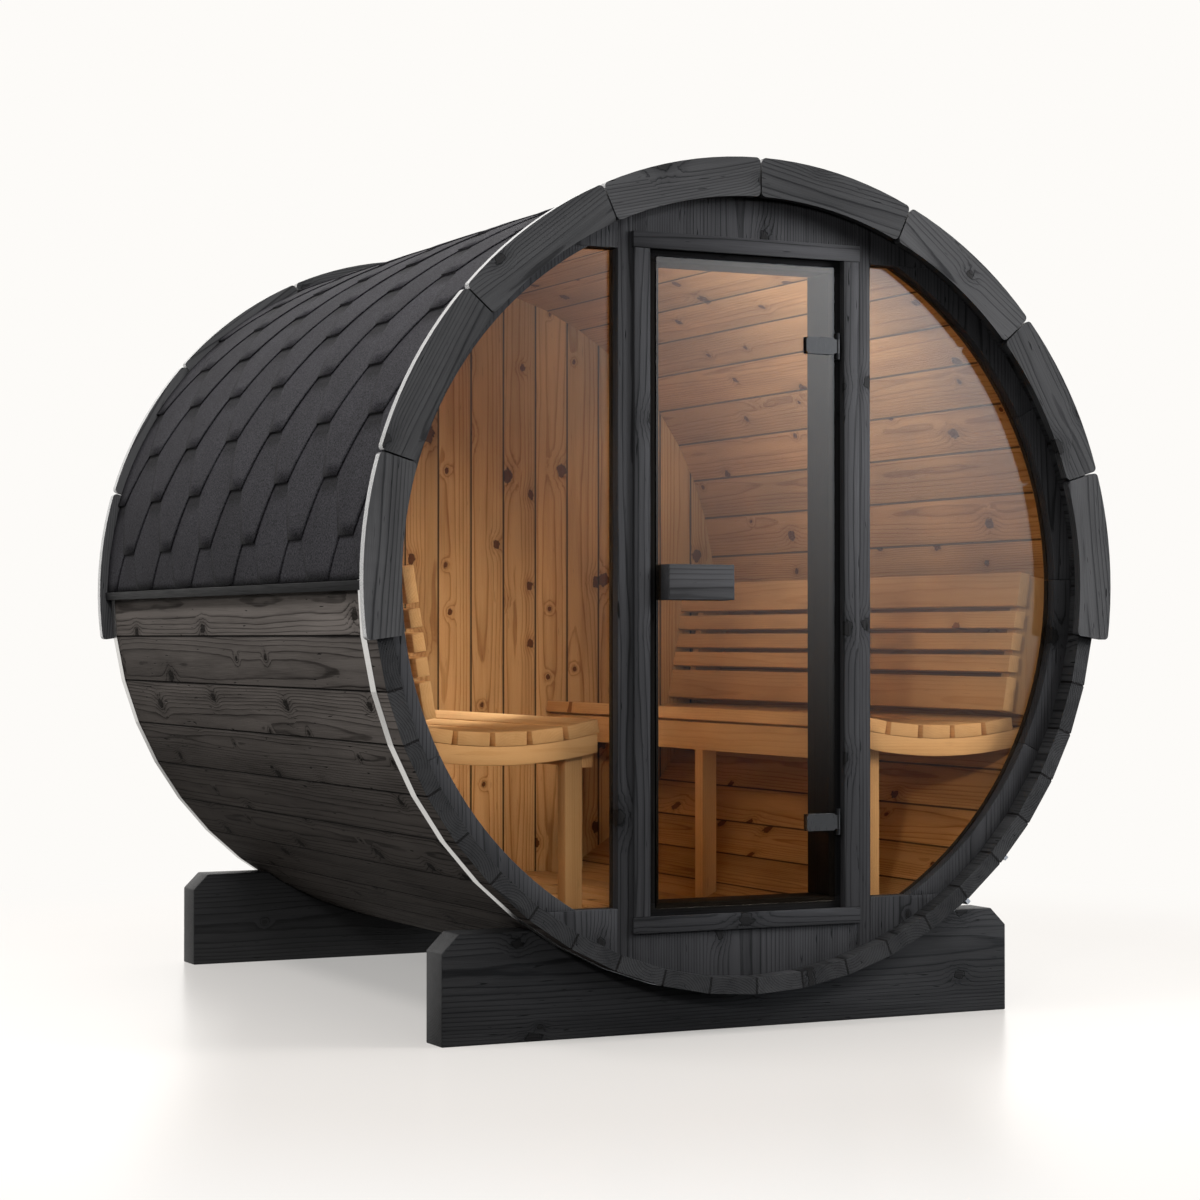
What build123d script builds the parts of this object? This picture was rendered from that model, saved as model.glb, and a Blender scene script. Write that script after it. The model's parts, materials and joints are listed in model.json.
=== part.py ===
from build123d import *
import os
from math import atan, ceil, cos, degrees, floor, hypot, radians, sin, sqrt, tan

# Barrel sauna, in millimetres. The sections are drawn as seen from the front, with
# X to the right and the barrel's axis as the origin, and run back from the front
# ends of the staves. At the end every piece is moved to a frame whose origin is on
# the ground under the middle of the barrel: +Y is to the rear and +Z is up.

# The barrel
barrel_radius = 1050.0  # from the axis to the flat outer face of a stave
barrel_length = 2215.0
ground_clearance = 100.0  # from the ground to the lowest stave
stave_count = 48
stave_thickness = 42.0
stave_joint = 0.5  # open joint between two staves
stave_bevel = 3.0
bead_radius = 6.5  # tongue along one edge of a stave
bead_sides = 8
bead_clearance = 0.3
seat_gap = 0.3  # between pieces that meet on a curved face

# The end walls, held in grooves round the inside of the staves
wall_recess = 52.0  # from the stave ends to the outer face of the wall
wall_thickness = 55.0
groove_depth = 10.0
rear_board_pitch = 115.0
rear_board_joint = 0.5
arch_pieces = 4
arch_joint = 0.5

# The two windows beside the door
arch_width = 51.0  # wood between the pane and the staves
wall_above_windows = 165.0  # from the window's top to the highest stave
wall_below_windows = 185.0
post_face = 41.0  # post that shows between the trim and the window
post_joint = 0.5
window_glass_thickness = 8.0
window_glass_setback = 31.0  # from the front face of the wall to the glass
glass_engagement = 8.0  # how far the glass runs into the wood
glass_clearance = 0.3

# The glass door
door_half_width = 262.0
door_glass_thickness = 8.0
door_setback = 1.0  # from the front face of the wall to the front of the glass
door_corner_cut = 2.5
handle_edge_gap = 13.0  # from the free edge of the glass to the outer block
handle_length = 190.0
handle_height = 91.0
handle_depth = 45.0
handle_edge_cut = 2.5
inner_handle_edge_gap = 22.0
inner_handle_depth = 35.0

# The doorway
trim_end_margin = 120.0  # from the trim's end to the highest and lowest stave
trim_side_width = 45.0
trim_end_width = 42.0
trim_thickness = 12.0
trim_end_overhang = 3.0  # of the head and foot past the sides
trim_side_gap = 23.0  # from the trim to the edge of the glass
trim_end_gap = 18.0
trim_overhang = 3.0  # of the trim past the lining's outer edge
lining_lap = 12.0  # how far the glass laps over the lining
lining_setback = 14.0
lining_depth = 110.0

# The hinges of the door
hinge_inset = 206.0  # from the end of the glass to the middle of the hinge
hinge_axis_offset = 8.0  # from the edge of the glass
hinge_cover_width = 88.0
hinge_cover_height = 44.0
hinge_cover_thickness = 8.0
hinge_cover_corner_cut = 6.0
hinge_plate_thickness = 4.0
hinge_plate_clearance = 5.0
knuckle_radius = 6.0
knuckle_length = 68.0
middle_knuckle_length = 35.0
knuckle_gap = 0.5
pin_radius = 3.0
pin_clearance = 0.3
leaf_thickness = 3.0
leaf_web_width = 8.0
bar_sides = 16  # flats round a pin, a knuckle or a rod

# The edge boards on both ends of the barrel
edge_board_count = 8
edge_board_overhang = 37.0  # past the outer face of the staves
edge_board_cover = 21.0  # past the inner face of the staves
edge_board_thickness = 25.0
edge_board_end_drop = 7.94  # degrees below the horizontal
edge_board_joint = 4.0
edge_board_corner_cut = 7.0

# The roof covering over the upper half
shingle_exposure = 156.0
starter_exposure = 110.0
ridge_least = 100.0  # from the top of the roof to the lower edge of its last course
shingle_butt_thickness = 7.5
shingle_top_thickness = 3.5
shingle_joint = 0.4
shingle_flat_angle = 4.3  # the widest flat that a course makes round the curve
eave_batten_height = 24.0
eave_batten_thickness = 18.0

# The two cradles
saddle_depth = 177.0  # from the top of a cradle to the lowest stave
cradle_shoulder = 246.0  # from the saddle to the end of a cradle
cradle_chamfer = 46.0
cradle_thickness = 100.0
front_cradle_inset = 104.0
rear_cradle_inset = 43.0

# The steel straps and their tensioners
strap_width = 36.0
strap_thickness = 1.5
strap_cradle_gap = 4.0
strap_notch_play = 1.0
strap_gap_start = -50.9  # degrees, from +X anticlockwise
strap_gap_end = -42.5
lug_height = 46.0
lug_length = 12.0
lug_width = 30.0
rod_radius = 4.0
rod_length = 252.0
rod_stand_off = 30.0
rod_clearance = 0.3
nut_radius = 7.5
nut_height = 7.0

# The floor
floor_rise = 102.0  # from the lowest stave's inner face to the top of the floor
floor_board_thickness = 28.0
floor_board_gap = 5.0
floor_board_count = 7
floor_bearer_width = 60.0
floor_bearer_margin = 8.0
floor_bearer_inset = 250.0

# The benches
seat_height = 528.5  # from the floor to the lowest point of the seat
bench_reach = 546.3  # from the staves to the aisle, level with the seat
bench_front_gap = 30.0
bench_slat_width = 87.0
bench_slat_thickness = 35.0
bench_slat_gap = 13.0
bench_slat_count = 5
seat_curve_radius = 1190.0
seat_low_reach = 267.0  # from the aisle edge to the lowest point of the seat
bench_rail_height = 47.0
bench_rail_thickness = 28.0
bench_apron_thickness = 30.0
bench_apron_height = 81.0
bench_leg_side = 47.0
bench_rear_inset = 60.0

# The backrests
backrest_slat_heights = [92.0, 46.0, 46.0, 46.0, 92.0]
backrest_gap = 15.0
backrest_slat_thickness = 32.0
backrest_stand_off = 113.0  # from the staves to the foot of the backrest
backrest_seat_gap = 38.5  # above the lowest point of the seat
backrest_lean = 9.1  # degrees
backrest_front_gap = 20.0
backrest_rib_thickness = 40.0

# Sizes that follow from these
half_stave = 180.0 / stave_count
axis_height = barrel_radius + ground_clearance
barrel_inner_radius = barrel_radius - stave_thickness
barrel_corner_radius = barrel_radius / cos(radians(half_stave))
inside_radius = barrel_inner_radius - seat_gap
wall_radius = barrel_inner_radius + groove_depth
front_wall_back = wall_recess + wall_thickness
rear_wall_front = barrel_length - wall_recess - wall_thickness

window_radius = barrel_inner_radius - arch_width
window_top = barrel_inner_radius - wall_above_windows
window_bottom = barrel_inner_radius - wall_below_windows

trim_inner_half_width = door_half_width + trim_side_gap
trim_outer_half_width = trim_inner_half_width + trim_side_width
trim_outer_half_height = barrel_inner_radius - trim_end_margin
trim_inner_half_height = trim_outer_half_height - trim_end_width
door_half_height = trim_inner_half_height - trim_end_gap
doorway_half_width = trim_inner_half_width + trim_overhang
doorway_half_height = trim_inner_half_height + trim_overhang
lining_half_width = door_half_width - lining_lap
lining_half_height = door_half_height - lining_lap
window_inner_edge = trim_outer_half_width + post_face

door_front = wall_recess + door_setback
door_back = door_front + door_glass_thickness
hinge_height = door_half_height - hinge_inset
hinge_axis_x = door_half_width + hinge_axis_offset
hinge_axis_y = door_front - hinge_cover_thickness / 2

edge_board_outer_radius = barrel_radius + edge_board_overhang
edge_board_inner_radius = barrel_inner_radius - edge_board_cover
roof_radius = barrel_corner_radius + seat_gap

cradle_height = ground_clearance + saddle_depth
saddle_half_width = sqrt(barrel_radius**2 - (barrel_radius - saddle_depth) ** 2)
cradle_half_length = saddle_half_width + cradle_shoulder
front_cradle_place = front_cradle_inset
rear_cradle_place = barrel_length - rear_cradle_inset - cradle_thickness

strap_inner = barrel_radius + seat_gap  # to the middle of each flat of the strap
strap_outer = strap_inner + strap_thickness
strap_corner_radius = strap_outer / cos(radians(half_stave))
front_strap_place = front_cradle_place - strap_cradle_gap - strap_width
rear_strap_place = rear_cradle_place + cradle_thickness + strap_cradle_gap
strap_places = [front_strap_place, rear_strap_place]

floor_drop = barrel_inner_radius - floor_rise
floor_half_width = sqrt(inside_radius**2 - (floor_drop + floor_board_thickness) ** 2)
floor_board_pitch = 2 * floor_half_width / floor_board_count

bench_front = front_wall_back + bench_front_gap
seat_low_drop = floor_drop - seat_height
side_reach = sqrt(inside_radius**2 - seat_low_drop**2)
bench_inner_edge = side_reach - bench_reach
seat_low_point = bench_inner_edge + seat_low_reach
backrest_foot_drop = seat_low_drop - backrest_seat_gap
backrest_foot_out = sqrt(inside_radius**2 - backrest_foot_drop**2) - backrest_stand_off


# A point at a distance from the axis and an angle from +X, anticlockwise
def polar(radius, angle):
    return (radius * cos(radians(angle)), radius * sin(radians(angle)))


# A section drawn as seen from the front, run back from a place along the barrel
def along_barrel(section, start, length):
    return Pos(0, start, 0) * extrude(Plane.XZ * section, length, dir=(0, 1, 0))


# A shape turned about the axis of the barrel, anticlockwise as seen from the front
def turned(shape, angle):
    return Rot(0, -angle, 0) * shape


def block(x_range, y_range, z_range):
    low = (x_range[0], y_range[0], z_range[0])
    size = [b - a for a, b in (x_range, y_range, z_range)]
    return Pos(*low) * Box(*size, align=(Align.MIN, Align.MIN, Align.MIN))


def rectangle(x_range, z_range):
    middle = (sum(x_range) / 2, sum(z_range) / 2)
    return Pos(*middle) * Rectangle(x_range[1] - x_range[0], z_range[1] - z_range[0])


# A round bar along Z, made with a few flats so that small parts stay light
def bar(radius, length):
    return extrude(RegularPolygon(radius, bar_sides), length / 2, both=True)


# A rectangle with its corners cut off
def cut_rectangle(width, height, cut):
    return chamfer(Rectangle(width, height).vertices(), cut)


def on_both_sides(shapes):
    return list(shapes) + [mirror(shape, about=Plane.YZ) for shape in shapes]


# Staves: boards with a tongue on one edge and a hollow to match on the other
def stave():
    slope = tan(radians(half_stave))
    play = stave_joint / 2
    bevel_radius = barrel_radius - stave_bevel
    profile = []
    for side in (-1, 1):
        corners = [
            (barrel_inner_radius, side * (barrel_inner_radius * slope - play)),
            (bevel_radius, side * (bevel_radius * slope - play)),
            (barrel_radius, side * (barrel_radius * slope - play - stave_bevel)),
        ]
        profile += corners if side < 0 else corners[::-1]
    joint_radius = (barrel_radius - stave_thickness / 2) / cos(radians(half_stave))
    section = Polygon(*profile, align=None)
    bead = Rot(0, 0, half_stave) * RegularPolygon(bead_radius, bead_sides)
    section += Pos(*polar(joint_radius, half_stave)) * bead
    hollow = RegularPolygon(bead_radius + bead_clearance, bead_sides)
    section -= Pos(*polar(joint_radius, -half_stave)) * Rot(0, 0, -half_stave) * hollow
    board = along_barrel(section, 0, barrel_length)
    groove = rectangle(
        (barrel_inner_radius - groove_depth, wall_radius + seat_gap),
        (-barrel_radius * slope, barrel_radius * slope),
    )
    for wall_place in (wall_recess, rear_wall_front):
        start = wall_place - seat_gap
        board -= along_barrel(groove, start, wall_thickness + 2 * seat_gap)
    return board


def stave_groups():
    names = [
        "staves_right_upper",
        "staves_top_right",
        "staves_top_left",
        "staves_left_upper",
        "staves_left_lower",
        "staves_bottom_left",
        "staves_bottom_right",
        "staves_right_lower",
    ]
    board = stave()
    groups = {}
    for number, name in enumerate(names):
        first = round(number * stave_count / len(names))
        last = round((number + 1) * stave_count / len(names))
        angles = [half_stave * (2 * k + 1) for k in range(first, last)]
        groups[name] = [turned(board, angle) for angle in angles]
    return groups


# Cradles: beams with chamfered shoulders and a round saddle
def cradle(place):
    ground = -axis_height
    top = ground + cradle_height
    outline = [
        (-cradle_half_length, ground),
        (cradle_half_length, ground),
        (cradle_half_length, top - cradle_chamfer),
        (cradle_half_length - cradle_chamfer, top),
        (-cradle_half_length + cradle_chamfer, top),
        (-cradle_half_length, top - cradle_chamfer),
    ]
    section = Polygon(*outline, align=None) - Circle(barrel_corner_radius + seat_gap)
    return along_barrel(section, place, cradle_thickness)


# A steel hoop bent over the corners of the staves, open under its tensioner
def strap(place):
    far = 2 * barrel_radius
    opening = Polygon(
        (0, 0), polar(far, strap_gap_start), polar(far, strap_gap_end), align=None
    )
    section = RegularPolygon(strap_outer, stave_count, major_radius=False)
    section -= RegularPolygon(strap_inner, stave_count, major_radius=False)
    return along_barrel(section - opening, place, strap_width)


# A lug on each end of the strap and the threaded rod with its nuts between them
def tensioner(place):
    hoop = RegularPolygon(strap_outer + seat_gap, stave_count, major_radius=False)
    hoop = along_barrel(hoop, place, strap_width)
    middle_angle = (strap_gap_start + strap_gap_end) / 2
    half_angle = (strap_gap_end - strap_gap_start) / 2
    rod_line = (strap_outer + rod_stand_off) * cos(radians(half_angle))
    across = place + strap_width / 2
    rod = Pos(rod_line, across, 0) * bar(rod_radius, rod_length)
    lug_middle = strap_outer * sin(radians(half_angle)) + lug_length / 2
    foot = strap_inner * cos(radians(half_angle))
    pieces = []
    for side in (-1, 1):
        nut_place = side * (lug_middle + lug_length / 2 + nut_height)
        nut = extrude(RegularPolygon(nut_radius, 6), nut_height / 2, both=True)
        rod += Pos(rod_line, across, nut_place) * nut
        lug = block(
            (foot, foot + lug_height),
            (across - lug_width / 2, across + lug_width / 2),
            (side * lug_middle - lug_length / 2, side * lug_middle + lug_length / 2),
        )
        lug -= Pos(rod_line, across, 0) * bar(rod_radius + rod_clearance, rod_length)
        pieces.append(turned(lug, middle_angle) - hoop)
    return pieces + [turned(rod, middle_angle)]


# The roof: courses that step up the curve, thick at the lower edge of each. A course
# lies over the corners of the staves and is relieved over the straps.
def course_section(angle, next_angle, butt_thickness, top_thickness):
    flats = ceil((next_angle - angle) / shingle_flat_angle)
    step = (next_angle - angle) / flats
    inner_radius = roof_radius / cos(radians(step / 2))
    inner = []
    outer = []
    for k in range(flats + 1):
        at = angle + k * step
        thickness = butt_thickness + (top_thickness - butt_thickness) * k / flats
        inner.append(polar(inner_radius, at))
        outer.append(polar(inner_radius + thickness, at))
    return Polygon(*inner, *outer[::-1], align=None)


def shingle_course(angle, next_angle, butt_thickness, top_thickness):
    section = course_section(angle, next_angle, butt_thickness, top_thickness)
    course = along_barrel(section, 0, barrel_length)
    relief_depth = strap_corner_radius + seat_gap - roof_radius
    relief = course_section(angle, next_angle, relief_depth, relief_depth)
    width = strap_width + 2 * strap_notch_play
    for place in strap_places:
        course -= along_barrel(relief, place - strap_notch_play, width)
    return course


def arc_angle(length):
    return degrees(length / roof_radius)


def roof():
    starter_angle = arc_angle(starter_exposure)
    course_angle = arc_angle(shingle_exposure)
    course_count = floor((90 - arc_angle(ridge_least) - starter_angle) / course_angle)
    joint_angle = arc_angle(shingle_joint)
    thick = shingle_butt_thickness
    thin = shingle_top_thickness
    courses = [shingle_course(0, starter_angle - joint_angle, thick, thin)]
    course = shingle_course(0, course_angle - joint_angle, thick, thin)
    for number in range(course_count):
        courses.append(turned(course, starter_angle + number * course_angle))
    ridge_start = starter_angle + course_count * course_angle
    ridge = shingle_course(ridge_start, 180 - ridge_start, thick, thick)
    return {
        "roof_shingles_right": courses,
        "roof_shingles_left": [mirror(c, about=Plane.YZ) for c in courses],
        "roof_ridge_shingles": [ridge],
    }


# Battens under the eaves, notched over the straps
def eave_battens():
    top = barrel_radius * tan(radians(half_stave)) - stave_joint
    batten = block(
        (barrel_radius, barrel_radius + eave_batten_thickness),
        (0, barrel_length),
        (top - eave_batten_height, top),
    )
    for place in strap_places:
        batten -= block(
            (barrel_radius, strap_outer + seat_gap),
            (place - strap_notch_play, place + strap_width + strap_notch_play),
            (top - eave_batten_height, top),
        )
    return on_both_sides([turned(batten, -half_stave)])


# Edge boards: curved boards with their corners cut off, over the stave ends
def edge_boards(place):
    span = (180 + 2 * edge_board_end_drop) / edge_board_count
    joint = degrees(edge_board_joint / 2 / edge_board_inner_radius)
    start = joint
    end = span - joint
    middle = span / 2
    inner = [polar(edge_board_inner_radius, a) for a in (start, middle, end)]
    outer = [polar(edge_board_outer_radius, a) for a in (start, middle, end)]
    outline = ThreePointArc(*inner) + Line(inner[2], outer[2])
    outline += ThreePointArc(*outer[::-1]) + Line(outer[0], inner[0])
    section = make_face(outline)
    section = chamfer(section.vertices(), edge_board_corner_cut)
    board = along_barrel(section, place, edge_board_thickness)
    first = -edge_board_end_drop
    return [turned(board, first + k * span) for k in range(edge_board_count)]


# The outline of the right window, grown by a distance into the wood round it
def window_outline(grow):
    box_outline = rectangle(
        (window_inner_edge - grow, window_radius + grow),
        (-window_bottom - grow, window_top + grow),
    )
    return box_outline & Circle(window_radius + grow)


def window_glass():
    section = window_outline(glass_engagement)
    place = wall_recess + window_glass_setback
    return along_barrel(section, place, window_glass_thickness)


# The pocket for the right pane, cut from every piece round that window
def without_glass_pocket(piece):
    section = window_outline(glass_engagement + glass_clearance)
    start = wall_recess + window_glass_setback - glass_clearance
    thickness = window_glass_thickness + 2 * glass_clearance
    return piece - along_barrel(section, start, thickness)


# The front wall: two posts beside the doorway, boards over and under the door between
# them, boards over and under the windows, and the arches round the windows
def front_wall():
    def panel(x_range, z_range):
        section = Circle(wall_radius) & rectangle(x_range, z_range)
        return along_barrel(section, wall_recess, wall_thickness)

    far = wall_radius
    middle = (-trim_outer_half_width + post_joint, trim_outer_half_width - post_joint)
    side = (window_inner_edge + post_joint, far)
    post = panel((doorway_half_width, window_inner_edge), (-far, far))
    pieces = {}
    for name, over_door, over_window in (
        ("front_wall_top", (doorway_half_height, far), (window_top, far)),
        ("front_wall_bottom", (-far, -doorway_half_height), (-far, -window_bottom)),
    ):
        corner = without_glass_pocket(panel(side, over_window))
        pieces[name] = [panel(middle, over_door)] + on_both_sides([corner])
        post -= panel((0, trim_outer_half_width), over_door)
    right_post = without_glass_pocket(post)
    pieces["front_post_right"] = [right_post]
    pieces["front_post_left"] = [mirror(right_post, about=Plane.YZ)]
    right_arch = window_arch()
    pieces["front_window_arch_right"] = right_arch
    pieces["front_window_arch_left"] = [mirror(s, about=Plane.YZ) for s in right_arch]
    return pieces


def window_arch():
    arch = Circle(wall_radius) - Circle(window_radius)
    arch &= rectangle((0, wall_radius), (-window_bottom, window_top))
    low = -degrees(atan(window_bottom / sqrt(wall_radius**2 - window_bottom**2)))
    high = degrees(atan(window_top / sqrt(wall_radius**2 - window_top**2)))
    step = (high - low) / arch_pieces
    saw = rectangle((0, 2 * wall_radius), (-arch_joint / 2, arch_joint / 2))
    for k in range(1, arch_pieces):
        arch -= Rot(0, 0, low + k * step) * saw
    solid = along_barrel(arch, wall_recess, wall_thickness)
    return list(without_glass_pocket(solid).solids())


# The lining of the doorway, behind the glass, and the trim round it
def door_lining():
    depth = (wall_recess + lining_setback, wall_recess + lining_setback + lining_depth)
    wide = (-doorway_half_width, doorway_half_width)
    head = block(wide, depth, (lining_half_height, doorway_half_height))
    sill = block(wide, depth, (-doorway_half_height, -lining_half_height))
    side = block(
        (lining_half_width, doorway_half_width),
        depth,
        (-lining_half_height + seat_gap, lining_half_height - seat_gap),
    )
    return [head, sill] + on_both_sides([side])


def door_trim():
    depth = (wall_recess - trim_thickness, wall_recess)
    reach = trim_outer_half_width + trim_end_overhang
    wide = (-reach, reach)
    head = block(wide, depth, (trim_inner_half_height, trim_outer_half_height))
    foot = block(wide, depth, (-trim_outer_half_height, -trim_inner_half_height))
    side = block(
        (trim_inner_half_width, trim_outer_half_width),
        depth,
        (-trim_inner_half_height + seat_gap, trim_inner_half_height - seat_gap),
    )
    return [head, foot] + on_both_sides([side])


# The door: a sheet of glass with a wooden block on each face as its handle
def door_glass():
    sheet = cut_rectangle(2 * door_half_width, 2 * door_half_height, door_corner_cut)
    return along_barrel(sheet, door_front, door_glass_thickness)


def handle_block(edge_gap, y_range):
    half = handle_height / 2
    inner_edge = handle_edge_gap + handle_length - door_half_width
    return block((edge_gap - door_half_width, inner_edge), y_range, (-half, half))


def door_handles():
    outer = handle_block(handle_edge_gap, (door_front - handle_depth, door_front))
    front_edges = outer.faces().sort_by(Axis.Y)[0].edges()
    outer = chamfer(front_edges, handle_edge_cut)
    back = (door_back, door_back + inner_handle_depth)
    inner = handle_block(inner_handle_edge_gap, back)
    back_edges = inner.faces().sort_by(Axis.Y)[-1].edges()
    inner = chamfer(back_edges, handle_edge_cut)
    return {"door_handle_outer": [outer], "door_handle_inner": [inner]}


# One hinge at the height of the axis: the cover and knuckle that turn with the door
def hinge_cover():
    sheet = cut_rectangle(hinge_cover_width, hinge_cover_height, hinge_cover_corner_cut)
    sheet = Pos(door_half_width - hinge_cover_width / 2, 0) * sheet
    front = door_front - hinge_cover_thickness
    cover = along_barrel(sheet, front, hinge_cover_thickness)
    half = middle_knuckle_length / 2
    cover += block(
        (door_half_width - hinge_cover_corner_cut, hinge_axis_x),
        (front, door_front),
        (-half, half),
    )
    middle = Pos(hinge_axis_x, hinge_axis_y, 0)
    cover += middle * bar(knuckle_radius, middle_knuckle_length)
    return cover - middle * bar(pin_radius + pin_clearance, knuckle_length)


def hinge_backplate():
    return block(
        (door_half_width - hinge_cover_width, lining_half_width - hinge_plate_clearance),
        (door_back, door_back + hinge_plate_thickness),
        (-hinge_cover_height / 2, hinge_cover_height / 2),
    )


# The fixed half of a hinge: a leaf on the lining with two knuckles and the pin
def hinge_leaf():
    lining_face = wall_recess + lining_setback
    half = knuckle_length / 2
    leaf = block(
        (hinge_axis_x - leaf_web_width / 2, trim_inner_half_width),
        (lining_face - leaf_thickness, lining_face),
        (-half, half),
    )
    inner_end = middle_knuckle_length / 2 + knuckle_gap
    length = half - inner_end
    for side in (-1, 1):
        height = side * (inner_end + length / 2)
        place = Pos(hinge_axis_x, hinge_axis_y, height)
        leaf += place * bar(knuckle_radius, length)
        leaf += block(
            (hinge_axis_x - leaf_web_width / 2, hinge_axis_x + leaf_web_width / 2),
            (hinge_axis_y, lining_face),
            (height - length / 2, height + length / 2),
        )
    return leaf + Pos(hinge_axis_x, hinge_axis_y, 0) * bar(pin_radius, knuckle_length)


def at_both_hinges(shape):
    return [Pos(0, 0, height) * shape for height in (hinge_height, -hinge_height)]


# The rear wall: upright boards cut to the circle
def rear_wall_boards():
    count = ceil(2 * wall_radius / rear_board_pitch)
    start = -count * rear_board_pitch / 2
    play = rear_board_joint / 2
    boards = []
    for k in range(count):
        left = start + k * rear_board_pitch
        strip = rectangle(
            (left + play, left + rear_board_pitch - play), (-wall_radius, wall_radius)
        )
        section = strip & Circle(wall_radius)
        boards.append(along_barrel(section, rear_wall_front, wall_thickness))
    return boards


# The floor: boards along the barrel on bearers shaped to the staves
def floor_boards():
    start = -floor_half_width
    play = floor_board_gap / 2
    length = rear_wall_front - front_wall_back - 2 * seat_gap
    boards = []
    for k in range(floor_board_count):
        left = start + k * floor_board_pitch
        board = rectangle(
            (left + play, left + floor_board_pitch - play),
            (-floor_drop - floor_board_thickness, -floor_drop),
        )
        section = board & Circle(inside_radius)
        boards.append(along_barrel(section, front_wall_back + seat_gap, length))
    return boards


def floor_bearers():
    top = -floor_drop - floor_board_thickness
    half_length = floor_half_width - floor_bearer_margin
    section = rectangle((-half_length, half_length), (-inside_radius, top))
    section &= Circle(inside_radius)
    first = front_wall_back + floor_bearer_inset
    last = rear_wall_front - floor_bearer_inset - floor_bearer_width
    places = [first, (first + last) / 2, last]
    return [along_barrel(section, place, floor_bearer_width) for place in places]


# The places of the rails and legs along a bench
def bench_support_places():
    last = rear_wall_front - bench_rear_inset - bench_rail_thickness - bench_leg_side
    return [bench_front, (bench_front + last) / 2, last]


# The right bench: slats on a shallow curve over shaped rails
def seat_centre():
    return (seat_low_point, seat_curve_radius - seat_low_drop)


def seat_edge_angle():
    reach = (seat_low_point - bench_inner_edge) / seat_curve_radius
    return -90 - degrees(atan(reach / sqrt(1 - reach**2)))


def bench_slats():
    pitch_angle = degrees((bench_slat_width + bench_slat_gap) / seat_curve_radius)
    half_angle = degrees(bench_slat_width / 2 / seat_curve_radius)
    length = rear_wall_front - seat_gap - bench_front
    slats = []
    for k in range(bench_slat_count):
        angle = seat_edge_angle() + half_angle + k * pitch_angle
        slat = Pos(seat_curve_radius + bench_slat_thickness / 2, 0) * Rectangle(
            bench_slat_thickness, bench_slat_width
        )
        section = Pos(*seat_centre()) * Rot(0, 0, angle) * slat
        slats.append(along_barrel(section, bench_front, length))
    return slats


def seat_rail_top():
    return hypot(seat_curve_radius + bench_slat_thickness, bench_slat_width / 2) + seat_gap


def bench_rails():
    top_radius = seat_rail_top()
    ring = Circle(top_radius + bench_rail_height) - Circle(top_radius)
    ring = Pos(*seat_centre()) * ring
    rails = []
    for number, place in enumerate(bench_support_places()):
        inner_edge = bench_inner_edge
        if number > 0:
            inner_edge += bench_apron_thickness + seat_gap
        section = ring & Circle(inside_radius)
        section &= rectangle((inner_edge, barrel_radius), (-barrel_radius, 0))
        rails.append(along_barrel(section, place, bench_rail_thickness))
    return rails


# How far below the axis the seat's rails and slats lie over a point
def under_slats(x, radius):
    centre_x, centre_z = seat_centre()
    return centre_z - sqrt(radius**2 - (x - centre_x) ** 2)


def bench_aprons():
    top = under_slats(bench_inner_edge + bench_apron_thickness, seat_rail_top())
    start = bench_front + bench_rail_thickness
    return block(
        (bench_inner_edge, bench_inner_edge + bench_apron_thickness),
        (start, rear_wall_front - seat_gap),
        (top - bench_apron_height, top),
    )


def bench_legs():
    left = bench_inner_edge + bench_apron_thickness + seat_gap
    right = left + bench_leg_side
    top = under_slats(right, seat_rail_top())
    legs = []
    for place in bench_support_places():
        section = rectangle((left, right), (-barrel_radius, top)) & Circle(inside_radius)
        legs.append(along_barrel(section, place + bench_rail_thickness, bench_leg_side))
    return legs


# The right backrest: leaning slats on ribs shaped to the staves
def backrest_slats():
    length = rear_wall_front - seat_gap - front_wall_back - backrest_front_gap
    rise = 0.0
    slats = []
    for height in backrest_slat_heights:
        slat = rectangle((0, backrest_slat_thickness), (rise, rise + height))
        section = Pos(backrest_foot_out, -backrest_foot_drop) * (
            Rot(0, 0, -backrest_lean) * slat
        )
        start = front_wall_back + backrest_front_gap
        slats.append(along_barrel(section, start, length))
        rise += height + backrest_gap
    return slats


def backrest_ribs():
    total = sum(backrest_slat_heights)
    total += backrest_gap * (len(backrest_slat_heights) - 1)
    behind = rectangle((backrest_slat_thickness, barrel_radius), (0, total))
    section = Pos(backrest_foot_out, -backrest_foot_drop) * (
        Rot(0, 0, -backrest_lean) * behind
    )
    section &= Circle(inside_radius)
    places = [place + bench_rail_thickness for place in bench_support_places()]
    return [along_barrel(section, place, backrest_rib_thickness) for place in places]


def benches():
    right_slats = bench_slats()
    right_back = backrest_slats()
    return {
        "bench_right_slats": right_slats,
        "bench_left_slats": [mirror(s, about=Plane.YZ) for s in right_slats],
        "bench_aprons": on_both_sides([bench_aprons()]),
        "bench_rails": on_both_sides(bench_rails()),
        "bench_legs": on_both_sides(bench_legs()),
        "backrest_right_slats": right_back,
        "backrest_left_slats": [mirror(s, about=Plane.YZ) for s in right_back],
        "backrest_ribs": on_both_sides(backrest_ribs()),
    }


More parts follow.
